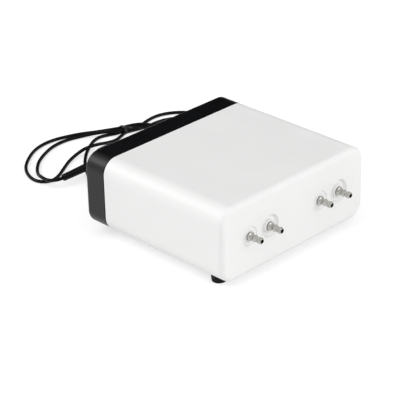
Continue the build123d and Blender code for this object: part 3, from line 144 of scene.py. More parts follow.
class PUMP_PG_housing(bpy.types.PropertyGroup):
    """Colours of the housing."""

    shell_colour: bpy.props.FloatVectorProperty(
        name="Shell", description="Colour of the white shell", subtype="COLOR", size=3,
        min=0.0, max=1.0, default=(0.86, 0.862, 0.855))
    cover_colour: bpy.props.FloatVectorProperty(
        name="Rear cover", description="Colour of the black rear cover", subtype="COLOR", size=3,
        min=0.0, max=1.0, default=(0.0025, 0.0027, 0.0034))
    foot_colour: bpy.props.FloatVectorProperty(
        name="Feet", description="Colour of the rubber feet", subtype="COLOR", size=3,
        min=0.0, max=1.0, default=(0.008, 0.008, 0.008))


class PUMP_PG_outlets(bpy.types.PropertyGroup):
    """Sizes and colour of the barbed outlets."""

    metal_colour: bpy.props.FloatVectorProperty(
        name="Plating", description="Colour of the nickel plating", subtype="COLOR", size=3,
        min=0.0, max=1.0, default=(0.50, 0.49, 0.46))
    bore_radius: bpy.props.FloatProperty(
        name="Bore", description="Radius of the air bore", unit="LENGTH", default=1.5 * MM)
    barb_radius: bpy.props.FloatProperty(
        name="Barb", description="Radius over the barbs", unit="LENGTH", default=2.7 * MM)


class PUMP_PG_cord(bpy.types.PropertyGroup):
    """Sizes and colour of the mains cord."""

    diameter: bpy.props.FloatProperty(
        name="Diameter", description="Outer diameter of the cord", unit="LENGTH", default=2.8 * MM)
    jacket_colour: bpy.props.FloatVectorProperty(
        name="Jacket", description="Colour of the cord's jacket", subtype="COLOR", size=3,
        min=0.0, max=1.0, default=(0.0022, 0.0022, 0.0024))


class PUMP_PG_stage(bpy.types.PropertyGroup):
    """Levels of the lamps and the surroundings."""

    side_light: bpy.props.FloatProperty(
        name="Left lamp", description="Power of the lamp on the left", unit="POWER", default=26.0)
    front_light: bpy.props.FloatProperty(
        name="Front lamp", description="Power of the lamp at the front", unit="POWER", default=20.0)
    sky_level: bpy.props.FloatProperty(
        name="Surroundings", description="Level of the even light from all round", default=0.84)


# Helpers for shader and geometry nodes.
def add_node(tree, kind, inputs=None, **settings):
    """Adds a node. Inputs are values, or output sockets to wire from."""
    made = tree.nodes.new(kind)
    for key, value in settings.items():
        setattr(made, key, value)
    for key, value in (inputs or {}).items():
        if isinstance(value, bpy.types.NodeSocket):
            tree.links.new(value, made.inputs[key])
        else:
            made.inputs[key].default_value = value
    return made


def blank_tree(owner, output_kind="ShaderNodeOutputMaterial"):
    """The emptied node tree of a material or world, and the socket that its surface goes to."""
    owner.use_nodes = True
    tree = owner.node_tree
    tree.nodes.clear()
    return tree, tree.nodes.new(output_kind).inputs["Surface"]


def ranged(tree, value, start, end, low=0.0, high=1.0):
    """A value moved from start..end to low..high."""
    moved = add_node(tree, "ShaderNodeMapRange", {
        "Value": value, "From Min": start, "From Max": end, "To Min": low, "To Max": high})
    return moved.outputs["Result"]


def noise(tree, place, scale, detail, roughness=0.5):
    """A noise texture, with its scale per metre."""
    return add_node(tree, "ShaderNodeTexNoise", {
        "Vector": place, "Scale": scale, "Detail": detail, "Roughness": roughness})


def bands(tree, place, pitch, direction, distortion):
    """The value of a texture of straight bands, with their pitch in millimetres."""
    wave = add_node(tree, "ShaderNodeTexWave", {
        "Vector": place, "Scale": BAND_LENGTH / (pitch * MM), "Distortion": distortion, "Detail": 2.0},
        wave_type="BANDS", bands_direction=direction)
    return wave.outputs["Fac"]


def cells(tree, place, scale):
    """The value of a cell texture, with its scale per metre: 0 in the middle of each cell."""
    return add_node(tree, "ShaderNodeTexVoronoi", {"Vector": place, "Scale": scale}).outputs["Distance"]


def rgba(colour):
    """A colour with its opacity."""
    return (*colour[:3], 1.0)


def scaled(colour, factor):
    """A lighter or darker colour, with no channel above 1."""
    return tuple(min(1.0, channel * factor) for channel in colour[:3])


# What the finishes share.
def new_finish(name, colour):
    """A finish's node tree, its surface shader and the object's coordinates."""
    material = bpy.data.materials.new("finish_" + name)
    material.diffuse_color = rgba(colour)
    tree, surface = blank_tree(material)
    shader = tree.nodes.new("ShaderNodeBsdfPrincipled")
    tree.links.new(shader.outputs["BSDF"], surface)
    place = tree.nodes.new("ShaderNodeTexCoord").outputs["Object"]
    return tree, shader, place


def set_colour(tree, shader, share, low, high):
    """Two colours, mixed by a 0 to 1 share."""
    mix = add_node(tree, "ShaderNodeMix", {0: share, 6: rgba(low), 7: rgba(high)}, data_type="RGBA")
    tree.links.new(mix.outputs[2], shader.inputs["Base Color"])


def set_gloss(tree, shader, value, low, high):
    """Roughness from low to high, over the middle of a noise texture's values."""
    tree.links.new(ranged(tree, value, 0.3, 0.7, low, high), shader.inputs["Roughness"])


def set_relief(tree, shader, height, strength, distance):
    """Relief from a texture, with its distance in millimetres."""
    bump = add_node(tree, "ShaderNodeBump", {
        "Height": height, "Strength": strength, "Distance": distance * MM})
    tree.links.new(bump.outputs["Normal"], shader.inputs["Normal"])


# The kinds of finish.
def moulded(name, colour, roughness, grain, depth, tone, specular=0.5):
    """Moulded plastic or rubber: a fine spark-eroded grain, slow changes of tone and gloss."""
    tree, shader, place = new_finish(name, colour)
    slow = noise(tree, place, scale=28.0, detail=3.0).outputs["Fac"]
    fine = noise(tree, place, scale=1.0 / (grain * MM), detail=2.0, roughness=0.6).outputs["Fac"]
    share = ranged(tree, slow, start=0.35, end=0.65)
    set_colour(tree, shader, share, scaled(colour, 1.0 - tone), scaled(colour, 1.0 + tone))
    set_gloss(tree, shader, slow, roughness - 0.04, roughness + 0.04)
    set_relief(tree, shader, fine, strength=depth, distance=0.05)
    shader.inputs["Specular IOR Level"].default_value = specular


def turned(name, colour, roughness, direction, pitch, depth):
    """Turned or drawn metal: fine rings across its axis and a little cloudiness."""
    tree, shader, place = new_finish(name, colour)
    rings = bands(tree, place, pitch, direction, distortion=0.4)
    cloud = noise(tree, place, scale=420.0, detail=4.0).outputs["Fac"]
    share = ranged(tree, cloud, start=0.3, end=0.7)
    set_colour(tree, shader, share, scaled(colour, 0.86), scaled(colour, 1.08))
    set_gloss(tree, shader, cloud, roughness - 0.05, roughness + 0.1)
    set_relief(tree, shader, rings, strength=depth, distance=0.02)
    shader.inputs["Metallic"].default_value = 1.0


def plated(name, colour, roughness):
    """Plated metal: crystal spangle in its colour, a cloudy gloss and faint scratches."""
    tree, shader, place = new_finish(name, colour)
    share = ranged(tree, cells(tree, place, scale=520.0), start=0.0, end=0.7)
    set_colour(tree, shader, share, scaled(colour, 1.06), scaled(colour, 0.84))
    cloud = noise(tree, place, scale=90.0, detail=5.0).outputs["Fac"]
    set_gloss(tree, shader, cloud, roughness - 0.1, roughness + 0.12)
    stretch = add_node(tree, "ShaderNodeMapping", {"Vector": place, "Scale": (1.0, 0.05, 1.0)})
    scratch = noise(tree, stretch.outputs["Vector"], scale=2600.0, detail=3.0).outputs["Fac"]
    set_relief(tree, shader, scratch, strength=0.2, distance=0.02)
    shader.inputs["Metallic"].default_value = 1.0


def laminated(name, colour, sheet):
    """A stack of steel sheets: dark varnish lines between bright cut edges."""
    tree, shader, place = new_finish(name, colour)
    sheets = bands(tree, place, pitch=sheet, direction="Z", distortion=0.15)
    cloud = noise(tree, place, scale=160.0, detail=4.0).outputs["Fac"]
    bright = ranged(tree, sheets, start=0.12, end=0.4)
    set_colour(tree, shader, bright, scaled(colour, 0.18), colour)
    set_gloss(tree, shader, cloud, low=0.34, high=0.6)
    set_relief(tree, shader, sheets, strength=0.5, distance=0.08)
    metallic = ranged(tree, sheets, start=0.12, end=0.4, low=0.35, high=1.0)
    tree.links.new(metallic, shader.inputs["Metallic"])


def felted(name, colour):
    """Pressed felt: tangled fibres in colour and relief."""
    tree, shader, place = new_finish(name, colour)
    bend = noise(tree, place, scale=300.0, detail=2.0).outputs["Color"]
    tangle = add_node(tree, "ShaderNodeVectorMath", {0: place, 1: bend}, operation="ADD")
    tangled = noise(tree, tangle.outputs["Vector"], scale=900.0, detail=6.0, roughness=0.75)
    fibres = tangled.outputs["Fac"]
    share = ranged(tree, fibres, start=0.35, end=0.65)
    set_colour(tree, shader, share, scaled(colour, 0.78), scaled(colour, 1.05))
    set_relief(tree, shader, fibres, strength=0.9, distance=0.25)
    shader.inputs["Roughness"].default_value = 0.95
    shader.inputs["Sheen Weight"].default_value = 0.4


def sintered(name, colour, metallic, roughness, grain):
    """Pressed powder, as in ferrite and oil-filled bronze: open pores and dull grains."""
    tree, shader, place = new_finish(name, colour)
    pores = cells(tree, place, scale=1.0 / (grain * MM))
    share = ranged(tree, pores, start=0.1, end=0.6)
    set_colour(tree, shader, share, scaled(colour, 0.6), scaled(colour, 1.1))
    set_relief(tree, shader, pores, strength=0.5, distance=0.08)
    shader.inputs["Metallic"].default_value = metallic
    shader.inputs["Roughness"].default_value = roughness


def make_finishes(housing, outlets, cord):
    """Every finish on the pump, under the name of its material slot."""
    # Colour, roughness, grain in millimetres, depth of the grain, change of tone, specular level.
    mouldings = {
        "shell_white": (housing.shell_colour, 0.42, 0.3, 0.12, 0.006),
        "cover_black": (housing.cover_colour, 0.34, 0.3, 0.35, 0.1, 0.32),
        "seam_rubber": ((0.004, 0.004, 0.004), 0.65, 0.4, 0.3, 0.1),
        "foot_rubber": (housing.foot_colour, 0.6, 0.5, 0.5, 0.12, 0.12),
        # Painted shade: a near-black finish for the faces of the outlets' air bores, where there is only
        # shade.
        "bore_painted_shade": ((0.003, 0.003, 0.003), 0.6, 0.4, 0.3, 0.1, 0.1),
        "seal_rubber": ((0.012, 0.012, 0.012), 0.6, 0.4, 0.3, 0.1),
        "intake_plastic": ((0.014, 0.014, 0.015), 0.5, 0.35, 0.4, 0.1),
        "bobbin_nylon": ((0.78, 0.74, 0.6), 0.4, 0.5, 0.2, 0.05),
        "isolator_rubber": ((0.015, 0.015, 0.015), 0.7, 0.5, 0.5, 0.12),
        "arm_plastic": ((0.025, 0.028, 0.036), 0.5, 0.25, 0.5, 0.14),
        "diaphragm_rubber": ((0.01, 0.01, 0.01), 0.6, 0.4, 0.3, 0.1),
        "head_plastic": ((0.62, 0.64, 0.63), 0.45, 0.4, 0.25, 0.03),
        "flap_rubber": ((0.035, 0.035, 0.036), 0.65, 0.3, 0.3, 0.1),
        "manifold_plastic": ((0.5, 0.51, 0.52), 0.45, 0.4, 0.25, 0.03),
        "hose_rubber": ((0.014, 0.014, 0.014), 0.55, 0.4, 0.3, 0.1),
        "cord_jacket": (cord.jacket_colour, 0.32, 0.5, 0.25, 0.12, 0.13),
        "plug_vinyl": ((0.003, 0.003, 0.0034), 0.4, 0.35, 0.4, 0.12, 0.18),
        "tie_plastic": ((0.03, 0.03, 0.032), 0.3, 0.4, 0.3, 0.2),
        "wire_vinyl": ((0.34, 0.012, 0.008), 0.35, 0.5, 0.2, 0.08),
    }
    for slot, values in mouldings.items():
        moulded(slot, *values)
    turned("outlet_nickel", outlets.metal_colour, roughness=0.24, direction="Y", pitch=0.22, depth=0.3)
    turned("copper", (0.62, 0.2, 0.07), roughness=0.22, direction="X", pitch=0.3, depth=0.1)
    plated("zinc_steel", (0.58, 0.6, 0.62), roughness=0.38)
    plated("blade_brass", (0.66, 0.63, 0.54), roughness=0.3)
    laminated("core_steel", (0.36, 0.37, 0.39), sheet=0.5)
    felted("felt", (0.74, 0.72, 0.65))
    sintered("bronze", (0.42, 0.24, 0.09), metallic=1.0, roughness=0.42, grain=0.18)
    sintered("magnet_ferrite", (0.03, 0.03, 0.032), metallic=0.3, roughness=0.62, grain=0.3)


def finish_of(slot):
    """The finish made for a material slot."""
    return bpy.data.materials["finish_" + slot]


def dress(node, slot):
    """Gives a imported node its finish."""
    obj = nodes[node]
    if not obj.material_slots:
        obj.data.materials.append(finish_of(slot))
    for material_slot in obj.material_slots:
        material_slot.material = finish_of(slot)


def place_mesh(name, mesh, slot, replaced):
    """Puts a mesh into the scene as a piece that rides on the housing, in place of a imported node."""
    piece = bpy.data.objects.new(name, mesh)
    bpy.context.scene.collection.objects.link(piece)
    mesh.materials.clear()
    mesh.materials.append(finish_of(slot))
    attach(piece, "housing")
    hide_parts(replaced)


# Helpers for meshes, which take sizes in millimetres.
def ring_faces(shape, first, second):
    """Faces between two rings that have as many points."""
    for step in range(len(first)):
        following = (step + 1) % len(first)
        shape.faces.new((first[step], first[following], second[following], second[step]))


def finished(shape, name):
    """The mesh of a shape, with its normals outward."""
    bmesh.ops.recalc_face_normals(shape, faces=shape.faces)
    mesh = bpy.data.meshes.new(name)
    shape.to_mesh(mesh)
    shape.free()
    return mesh


def smooth(mesh, angle):
    """Smooth shading with sharp edges past an angle."""
    mesh.shade_smooth()
    mesh.set_sharp_from_angle(angle=math.radians(angle))


def lathe(outline, segments=48):
    """A turned mesh about +Y from a closed outline of (radius, y) pairs, none of them on the axis."""
    shape = bmesh.new()
    rings = []
    for radius, along in outline:
        ring = []
        for step in range(segments):
            turn = 2 * math.pi * step / segments
            ring.append(shape.verts.new((
                radius * MM * math.cos(turn), along * MM, radius * MM * math.sin(turn))))
        rings.append(ring)
    for first, second in zip(rings, rings[1:] + rings[:1]):
        ring_faces(shape, first, second)
    return finished(shape, "turned")


def lofted(sections, sides=40):
    """A closed mesh along +X through squarish sections: (x, half width, half height, squareness)."""
    shape = bmesh.new()
    rings = []
    for along, half_width, half_height, power in sections:
        ring = []
        for step in range(sides):
            turn = 2 * math.pi * step / sides
            side, rise = math.cos(turn), math.sin(turn)
            reach = (abs(side) ** power + abs(rise) ** power) ** (-1 / power)
            point = (along, half_width * reach * side, half_height * reach * rise)
            ring.append(shape.verts.new(metres(point)))
        rings.append(ring)
    for first, second in zip(rings, rings[1:]):
        ring_faces(shape, first, second)
    shape.faces.new(rings[0])
    shape.faces.new(rings[-1])
    return finished(shape, "lofted")


def joined(meshes):
    """Several meshes as one, with their normals outward."""
    shape = bmesh.new()
    for mesh in meshes:
        shape.from_mesh(mesh)
        bpy.data.meshes.remove(mesh)
    return finished(shape, "joined")


def sweep_nodes():
    """Geometry nodes that sweep an oval section along a path."""
    tree = bpy.data.node_groups.new("sweep_along_path", "GeometryNodeTree")
    sockets = tree.interface
    sockets.new_socket("Geometry", in_out="INPUT", socket_type="NodeSocketGeometry")
    for name in ("Half Width", "Half Height"):
        sockets.new_socket(name, in_out="INPUT", socket_type="NodeSocketFloat")
    sockets.new_socket("Sides", in_out="INPUT", socket_type="NodeSocketInt")
    sockets.new_socket("Material", in_out="INPUT", socket_type="NodeSocketMaterial")
    sockets.new_socket("Geometry", in_out="OUTPUT", socket_type="NodeSocketGeometry")
    entry = tree.nodes.new("NodeGroupInput")
    leave = tree.nodes.new("NodeGroupOutput")
    path = add_node(tree, "GeometryNodeMeshToCurve", {"Mesh": entry.outputs["Geometry"]})
    circle = add_node(tree, "GeometryNodeCurvePrimitiveCircle", {
        "Resolution": entry.outputs["Sides"], "Radius": 1.0})
    oval = add_node(tree, "ShaderNodeCombineXYZ", {
        "X": entry.outputs["Half Width"], "Y": entry.outputs["Half Height"], "Z": 1.0})
    section = add_node(tree, "GeometryNodeTransform", {
        "Geometry": circle.outputs["Curve"], "Scale": oval.outputs["Vector"]})
    tube = add_node(tree, "GeometryNodeCurveToMesh", {
        "Curve": path.outputs["Curve"], "Profile Curve": section.outputs["Geometry"], "Fill Caps": True})
    real = add_node(tree, "GeometryNodeRealizeInstances", {"Geometry": tube.outputs["Mesh"]})
    coated = add_node(tree, "GeometryNodeSetMaterial", {
        "Geometry": real.outputs["Geometry"], "Material": entry.outputs["Material"]})
    tree.links.new(coated.outputs["Geometry"], leave.inputs["Geometry"])
    return tree


def swept(points, half_width, half_height, sides, slot):
    """A mesh of an oval section swept along points, with the geometry nodes above."""
    tree = bpy.data.node_groups.get("sweep_along_path") or sweep_nodes()
    line = bpy.data.meshes.new("path")
    edges = [(step, step + 1) for step in range(len(points) - 1)]
    line.from_pydata([metres(point) for point in points], edges, [])
    carrier = bpy.data.objects.new("path_carrier", line)
    bpy.context.scene.collection.objects.link(carrier)
    modifier = carrier.modifiers.new("sweep", "NODES")
    modifier.node_group = tree
    values = {
        "Half Width": half_width * MM, "Half Height": half_height * MM, "Sides": sides,
        "Material": finish_of(slot)}
    for item in tree.interface.items_tree:
        if item.item_type == "SOCKET" and item.in_out == "INPUT" and item.name in values:
            modifier[item.identifier] = values[item.name]
    depsgraph = bpy.context.evaluated_depsgraph_get()
    mesh = bpy.data.meshes.new_from_object(carrier.evaluated_get(depsgraph), depsgraph=depsgraph)
    bpy.data.objects.remove(carrier)
    bpy.data.meshes.remove(line)
    return mesh


def curve_length(context, curve):
    """The length of a curve's path in metres, measured on a copy without its round section."""
    bare = curve.copy()
    bare.bevel_depth = 0.0
    ruler = bpy.data.objects.new("ruler", bare)
    context.scene.collection.objects.link(ruler)
    depsgraph = context.evaluated_depsgraph_get()
    path = bpy.data.meshes.new_from_object(ruler.evaluated_get(depsgraph), depsgraph=depsgraph)
    length = sum(
        (path.vertices[edge.vertices[0]].co - path.vertices[edge.vertices[1]].co).length
        for edge in path.edges)
    bpy.data.objects.remove(ruler)
    bpy.data.meshes.remove(path)
    bpy.data.curves.remove(bare)
    return length


class PUMP_OT_camera(bpy.types.Operator):
    """Sets the camera at the photograph's viewing angle"""

    bl_idname = "pump.camera"
    bl_label = "Camera"

    def execute(self, context):
        eye = metres(CAMERA_EYE)
        back = (eye - metres(CAMERA_TARGET)).normalized()
        right = Vector((0.0, 0.0, 1.0)).cross(back).normalized()
        up = back.cross(right)
        across = right * math.cos(CAMERA_ROLL) + up * math.sin(CAMERA_ROLL)
        upward = up * math.cos(CAMERA_ROLL) - right * math.sin(CAMERA_ROLL)
        lens = bpy.data.cameras.new("camera")
        lens.lens = FOCAL_LENGTH
        lens.sensor_width = SENSOR_WIDTH
        lens.clip_start = 0.05
        lens.clip_end = 50.0
        camera = bpy.data.objects.new("camera", lens)
        context.scene.collection.objects.link(camera)
        turn = Matrix((across, upward, back)).transposed().to_4x4()
        camera.matrix_world = Matrix.Translation(eye) @ turn
        context.scene.camera = camera
        context.scene.view_settings.view_transform = "Standard"
        return {"FINISHED"}


class PUMP_OT_finishes(bpy.types.Operator):
    """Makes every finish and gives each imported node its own"""

    bl_idname = "pump.finishes"
    bl_label = "Finishes"

    def execute(self, context):
        scene = context.scene
        make_finishes(scene.pump_housing, scene.pump_outlets, scene.pump_cord)
        for part in frame["record"]["subparts"]:
            dress(part["node"], part["material_slot"])
        return {"FINISHED"}


class PUMP_OT_tie(bpy.types.Operator):
    """Winds the twist tie round the bundle and twists its ends together"""

    bl_idname = "pump.tie"
    bl_label = "Twist tie"

    def execute(self, context):
        strips = []
        for start, end in ((-1.5, -0.7), (-0.4, 0.4), (0.7, 1.5)):
            strips.append(self.wound_turn(start, end))
        for phase in (0.0, math.pi):
            strips.append(self.twisted_end(phase))
        mesh = joined(strips)
        smooth(mesh, angle=60)
        place_mesh("twisted_tie", mesh, "tie_plastic", replaced="twist_tie")
        return {"FINISHED"}

    def wound_turn(self, start, end):
        """One turn round the bundle, which moves along it from start to end."""
        reach = 3.15
        squareness = 0.72
        steps = 32
        mid_x, mid_y, mid_z = TIE_CENTRE
        path = []
        for step in range(steps + 1):
            turn = 2 * math.pi * step / steps
            side, rise = math.cos(turn), math.sin(turn)
            spread = reach / max(abs(side), abs(rise)) ** squareness
            shift = start + (end - start) * step / steps
            path.append((mid_x + shift, mid_y + spread * side, mid_z + spread * rise))
        return swept(path, half_width=0.32, half_height=0.42, sides=8, slot="tie_plastic")

    def twisted_end(self, phase):
        """One of the two ends, which twist round each other toward the cover and splay at their tips."""
        length = 8.0
        pitch = 2.6
        radius = 0.34
        splay = 0.2
        splay_start = 6.0
        way_x = 0.35
        way_y = -0.93
        above_centre = 3.25
        steps = 48
        mid_x, mid_y, mid_z = TIE_CENTRE
        path = []
        for step in range(steps + 1):
            along = length * step / steps
            turn = phase + 2 * math.pi * along / pitch
            spread = radius + splay * max(0.0, along - splay_start)
            across = spread * math.cos(turn)
            path.append((
                mid_x + way_x * along - way_y * across,
                mid_y + way_y * along + way_x * across,
                mid_z + above_centre + spread * math.sin(turn)))
        return swept(path, half_width=0.3, half_height=0.3, sides=8, slot="tie_plastic")


class PUMP_OT_plug(bpy.types.Operator):
    """Moulds the mains plug: ringed tail, shoulder and body with finger ribs"""

    bl_idname = "pump.plug"
    bl_label = "Mains plug"

    def execute(self, context):
        sections = self.tail() + self.shoulder() + self.body()
        mesh = lofted(sections)
        mesh.transform(Matrix.Translation(metres(PLUG_TIP)) @ Matrix.Rotation(PLUG_TURN, 4, "Z"))
        smooth(mesh, angle=40)
        place_mesh("moulded_plug", mesh, "plug_vinyl", replaced="plug")
        return {"FINISHED"}

    def tail(self):
        """The rounded tip, and a cone with a groove for each ring."""
        ring_count = 11
        first_ring = 3.4
        ring_pitch = 3.1
        tip_radius = 2.78
        growth = 0.018
        groove = ((0.0, 0.0), (0.25, 0.1), (0.4, 0.5), (0.9, 0.5), (1.05, 0.1), (1.3, 0.0))
        sections = [(0.0, 1.9, 1.9, 2.0), (0.25, 2.5, 2.5, 2.0), (0.7, 2.75, 2.75, 2.0)]
        for ring in range(ring_count):
            start = first_ring + ring_pitch * ring
            radius = tip_radius + growth * start
            for shift, drop in groove:
                sections.append((start + shift, radius - drop, radius - drop, 2.0))
        return sections

    def shoulder(self):
        """From the round tail to the squarish body."""
        return [
            (38.6, 3.5, 3.5, 2.0), (39.6, 4.3, 3.8, 2.1), (41.0, 6.4, 4.6, 2.4),
            (43.0, 8.6, 5.5, 2.9), (45.0, 9.9, 6.2, 3.6), (46.4, 10.3, 6.4, 4.4),
        ]

    def body(self):
        """Finger ribs on both sides, and the face with its rounded edge."""
        rib_count = 4
        first_rib = 47.6
        rib_pitch = 2.4
        half_width = 10.4
        half_height = 6.42
        groove = ((0.0, 0.0), (0.3, 0.1), (0.55, 0.55), (1.15, 0.55), (1.4, 0.1), (1.7, 0.0))
        sections = []
        for rib in range(rib_count):
            start = first_rib + rib_pitch * rib
            for shift, drop in groove:
                sections.append((start + shift, half_width - drop, half_height, 5.0))
        return sections + [
            (58.6, 10.45, 6.45, 5.5), (61.2, 10.45, 6.45, 5.5), (61.75, 10.25, 6.25, 5.5),
            (62.0, 9.8, 5.8, 5.5),
        ]


class PUMP_OT_cord(bpy.types.Operator):
    """Lays the mains cord from its gland through the tied hank to the plug"""

    bl_idname = "pump.cord"
    bl_label = "Mains cord"

    def execute(self, context):
        diameter = context.scene.pump_cord.diameter
        curve = bpy.data.curves.new("mains_cord", "CURVE")
        curve.dimensions = "3D"
        curve.resolution_u = 10
        curve.bevel_depth = diameter / 2
        curve.bevel_resolution = 5
        curve.use_fill_caps = True
        curve.materials.append(finish_of("cord_jacket"))
        spline = curve.splines.new("NURBS")
        spline.points.add(len(CORD_ROUTE) - 1)
        for point, place in zip(spline.points, CORD_ROUTE):
            point.co = (*metres(place), 1.0)
        spline.order_u = 3
        spline.use_endpoint_u = True
        cord = bpy.data.objects.new("mains_cord", curve)
        context.scene.collection.objects.link(cord)
        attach(cord, "housing")
        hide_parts("cord_lead", "cord_hank", "cord_tail")
        length = curve_length(context, curve)
        return {"FINISHED"}


class PUMP_OT_outlets(bpy.types.Operator):
    """Turns the four barbed outlets"""

    bl_idname = "pump.outlets"
    bl_label = "Barbed outlets"

    def execute(self, context):
        settings = context.scene.pump_outlets
        margin = 0.05 * MM
        outline = self.outline(settings.bore_radius / MM, settings.barb_radius / MM)
        for name, x in OUTLET_X.items():
            mesh = lathe([(radius, OUTLET_TIP_Y + depth) for radius, depth in outline])
            # The faces of the air bore get a near-black finish: painted shade for the shade within the
            # bore.
            shaded_bore_faces = [
                face.index for face in mesh.polygons
                if math.hypot(face.center.x, face.center.z) < settings.bore_radius + margin]
            mesh.transform(Matrix.Translation(metres((x, 0.0, OUTLET_Z))))
            smooth(mesh, angle=50)
            place_mesh("barb_" + name, mesh, "outlet_nickel", replaced="outlet_" + name)
            mesh.materials.append(finish_of("bore_painted_shade"))
            for index in shaded_bore_faces:
                mesh.polygons[index].material_index = 1
        return {"FINISHED"}

    def outline(self, bore, barb):
        """The closed outline of an outlet: (radius, depth behind the tip) pairs."""
        neck = 2.1
        collar = 3.4
        shank = 3.0
        end = 26.8
        return [
            (bore, end), (bore, 0.16), (bore + 0.1, 0.02), (bore + 0.18, 0.0),
            (barb - 0.95, 0.02), (barb - 0.78, 0.16), (barb - 0.24, 0.9), (barb - 0.2, 1.0),
            (barb - 0.2, 2.8), (barb - 0.26, 2.9), (neck + 0.02, 3.35), (neck, 3.5),
            (neck, 5.2), (neck + 0.1, 5.4), (barb - 0.1, 6.15), (barb, 6.3),
            (barb, 6.75), (barb - 0.08, 6.85), (neck + 0.1, 7.35), (neck, 7.5),
            (neck, 10.05), (neck + 0.1, 10.15), (collar - 0.1, 10.2), (collar, 10.3),
            (collar, 11.3), (collar - 0.1, 11.4), (shank + 0.02, 11.42), (shank, 11.5),
            (shank, end + 0.2), (shank - 0.2, end),
        ]


class PUMP_OT_winding(bpy.types.Operator):
    """Winds the coil's outer layer turn by turn"""

    bl_idname = "pump.winding"
    bl_label = "Winding"

    def execute(self, context):
        wire_radius = 0.3
        pitch = 2.02 * wire_radius
        low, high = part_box("winding")
        low = [value / MM for value in low]
        high = [value / MM for value in high]
        ring = self.section(low, high, wire_radius)
        count = int((high[0] - low[0] - 2 * wire_radius) / pitch)
        path = []
        for turn in range(count):
            for step, (y, z) in enumerate(ring):
                path.append((low[0] + wire_radius + pitch * (turn + step / len(ring)), y, z))
        wire = swept(path, half_width=wire_radius, half_height=wire_radius, sides=6, slot="copper")
        mesh = joined([wire])
        smooth(mesh, angle=70)
        place_mesh("winding_turns", mesh, "copper", replaced="winding")
        return {"FINISHED"}

    def section(self, low, high, wire_radius):
        """One turn of the wire's centre line, a rectangle with round corners: (y, z) pairs."""
        corner = 3.0
        corner_points = 4
        mid_y = (low[1] + high[1]) / 2
        mid_z = (low[2] + high[2]) / 2
        half_y = (high[1] - low[1]) / 2 - wire_radius
        half_z = (high[2] - low[2]) / 2 - wire_radius
        ring = []
        for way_y, way_z, first in ((1, 1, 0), (-1, 1, 90), (-1, -1, 180), (1, -1, 270)):
            for step in range(corner_points):
                turn = math.radians(first + 90 * step / (corner_points - 1))
                ring.append((
                    mid_y + way_y * (half_y - corner) + corner * math.cos(turn),
                    mid_z + way_z * (half_z - corner) + corner * math.sin(turn)))
        return ring


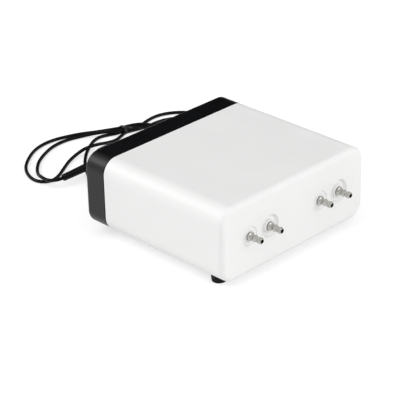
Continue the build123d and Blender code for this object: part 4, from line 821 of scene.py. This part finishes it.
class PUMP_OT_stage(bpy.types.Operator):
    """Sets the pale floor, the soft lamps, and surroundings with a dark screen behind the pump"""

    bl_idname = "pump.stage"
    bl_label = "Stage"

    def execute(self, context):
        scene = context.scene
        settings = scene.pump_stage
        self.lay_floor(scene)
        self.hang_lamp(scene, "left_lamp", LEFT_LAMP_PLACE, LEFT_LAMP_WIDTH, settings.side_light)
        self.hang_lamp(scene, "front_lamp", FRONT_LAMP_PLACE, FRONT_LAMP_WIDTH, settings.front_light)
        self.surround(scene, settings.sky_level)
        return {"FINISHED"}

    def lay_floor(self, scene):
        """A floor that is nearly white to the camera and in reflections, and lights as grey paper."""
        shape = bmesh.new()
        bmesh.ops.create_grid(shape, x_segments=8, y_segments=8, size=FLOOR_HALF_WIDTH * MM)
        mesh = bpy.data.meshes.new("floor")
        shape.to_mesh(mesh)
        shape.free()
        floor = bpy.data.objects.new("floor", mesh)
        scene.collection.objects.link(floor)
        material = bpy.data.materials.new("floor_paper")
        tree, surface = blank_tree(material)
        paper = add_node(tree, "ShaderNodeBsdfDiffuse", {"Color": (0.8, 0.8, 0.8, 1.0)})
        shadowed = add_node(tree, "ShaderNodeBsdfDiffuse", {"Color": (0.5, 0.5, 0.5, 1.0)})
        glow = add_node(tree, "ShaderNodeEmission", {"Color": WHITE, "Strength": 0.62})
        seen = add_node(tree, "ShaderNodeAddShader", {0: shadowed.outputs[0], 1: glow.outputs[0]})
        share = self.kind_of_ray(tree, "Is Camera Ray", "Is Glossy Ray", "Is Transmission Ray")
        choice = add_node(tree, "ShaderNodeMixShader", {0: share, 1: paper.outputs[0], 2: seen.outputs[0]})
        tree.links.new(choice.outputs[0], surface)
        mesh.materials.append(material)

    def hang_lamp(self, scene, name, place, width, power):
        """A square lamp that points at the pump."""
        lamp = bpy.data.lights.new(name, "AREA")
        lamp.shape = "SQUARE"
        lamp.size = width * MM
        lamp.energy = power
        holder = bpy.data.objects.new(name, lamp)
        holder.location = metres(place)
        aim = metres(LAMP_TARGET) - holder.location
        holder.rotation_euler = aim.to_track_quat("-Z", "Y").to_euler()
        scene.collection.objects.link(holder)

    def surround(self, scene, level):
        """An even light from all round but for the screen, with a white backdrop for the camera."""
        world = bpy.data.worlds.new("surroundings")
        tree, surface = blank_tree(world, "ShaderNodeOutputWorld")
        backdrop = add_node(tree, "ShaderNodeBackground", {"Color": WHITE, "Strength": 1.0})
        direction = tree.nodes.new("ShaderNodeTexCoord").outputs["Generated"]
        facing = add_node(
            tree, "ShaderNodeVectorMath", {0: direction, 1: SCREEN_DIRECTION}, operation="DOT_PRODUCT")
        screened = ranged(
            tree, facing.outputs["Value"], start=SCREEN_START, end=SCREEN_FULL,
            low=level, high=SCREEN_REST * level)
        around = add_node(tree, "ShaderNodeBackground", {"Color": WHITE, "Strength": screened})
        share = self.kind_of_ray(tree, "Is Camera Ray", "Is Transmission Ray")
        choice = add_node(
            tree, "ShaderNodeMixShader", {0: share, 1: around.outputs[0], 2: backdrop.outputs[0]})
        tree.links.new(choice.outputs[0], surface)
        scene.world = world

    def kind_of_ray(self, tree, *kinds):
        """1 for a ray of any of these kinds, and 0 for others."""
        rays = tree.nodes.new("ShaderNodeLightPath")
        share = rays.outputs[kinds[0]]
        for kind in kinds[1:]:
            either = add_node(
                tree, "ShaderNodeMath", {0: share, 1: rays.outputs[kind]}, operation="MAXIMUM")
            share = either.outputs[0]
        return share


class PUMP_PT_panel(bpy.types.Panel):
    """Lists the pump's settings and the steps that make it"""

    bl_idname = "PUMP_PT_panel"
    bl_label = "Air Pump"
    bl_space_type = "VIEW_3D"
    bl_region_type = "UI"
    bl_category = "Air Pump"

    def draw(self, context):
        layout = self.layout
        for group in GROUPS:
            settings = getattr(context.scene, group)
            box = layout.box()
            for key in settings.bl_rna.properties.keys():
                if key not in {"rna_type", "name"}:
                    box.prop(settings, key)
        for step in STEPS:
            layout.operator(step.bl_idname)


GROUPS = {
    "pump_housing": PUMP_PG_housing,
    "pump_outlets": PUMP_PG_outlets,
    "pump_cord": PUMP_PG_cord,
    "pump_stage": PUMP_PG_stage,
}
STEPS = (
    PUMP_OT_camera, PUMP_OT_finishes, PUMP_OT_tie, PUMP_OT_plug, PUMP_OT_cord,
    PUMP_OT_outlets, PUMP_OT_winding, PUMP_OT_stage,
)


def register():
    for name, group in GROUPS.items():
        bpy.utils.register_class(group)
        setattr(bpy.types.Scene, name, bpy.props.PointerProperty(type=group))
    for step in STEPS:
        bpy.utils.register_class(step)
    bpy.utils.register_class(PUMP_PT_panel)


def unregister():
    bpy.utils.unregister_class(PUMP_PT_panel)
    for step in reversed(STEPS):
        bpy.utils.unregister_class(step)
    for name, group in GROUPS.items():
        delattr(bpy.types.Scene, name)
        bpy.utils.unregister_class(group)


def main():
    register()
    for step in STEPS:
        family, name = step.bl_idname.split(".")
        getattr(getattr(bpy.ops, family), name)()


if __name__ == "__main__":
    main()
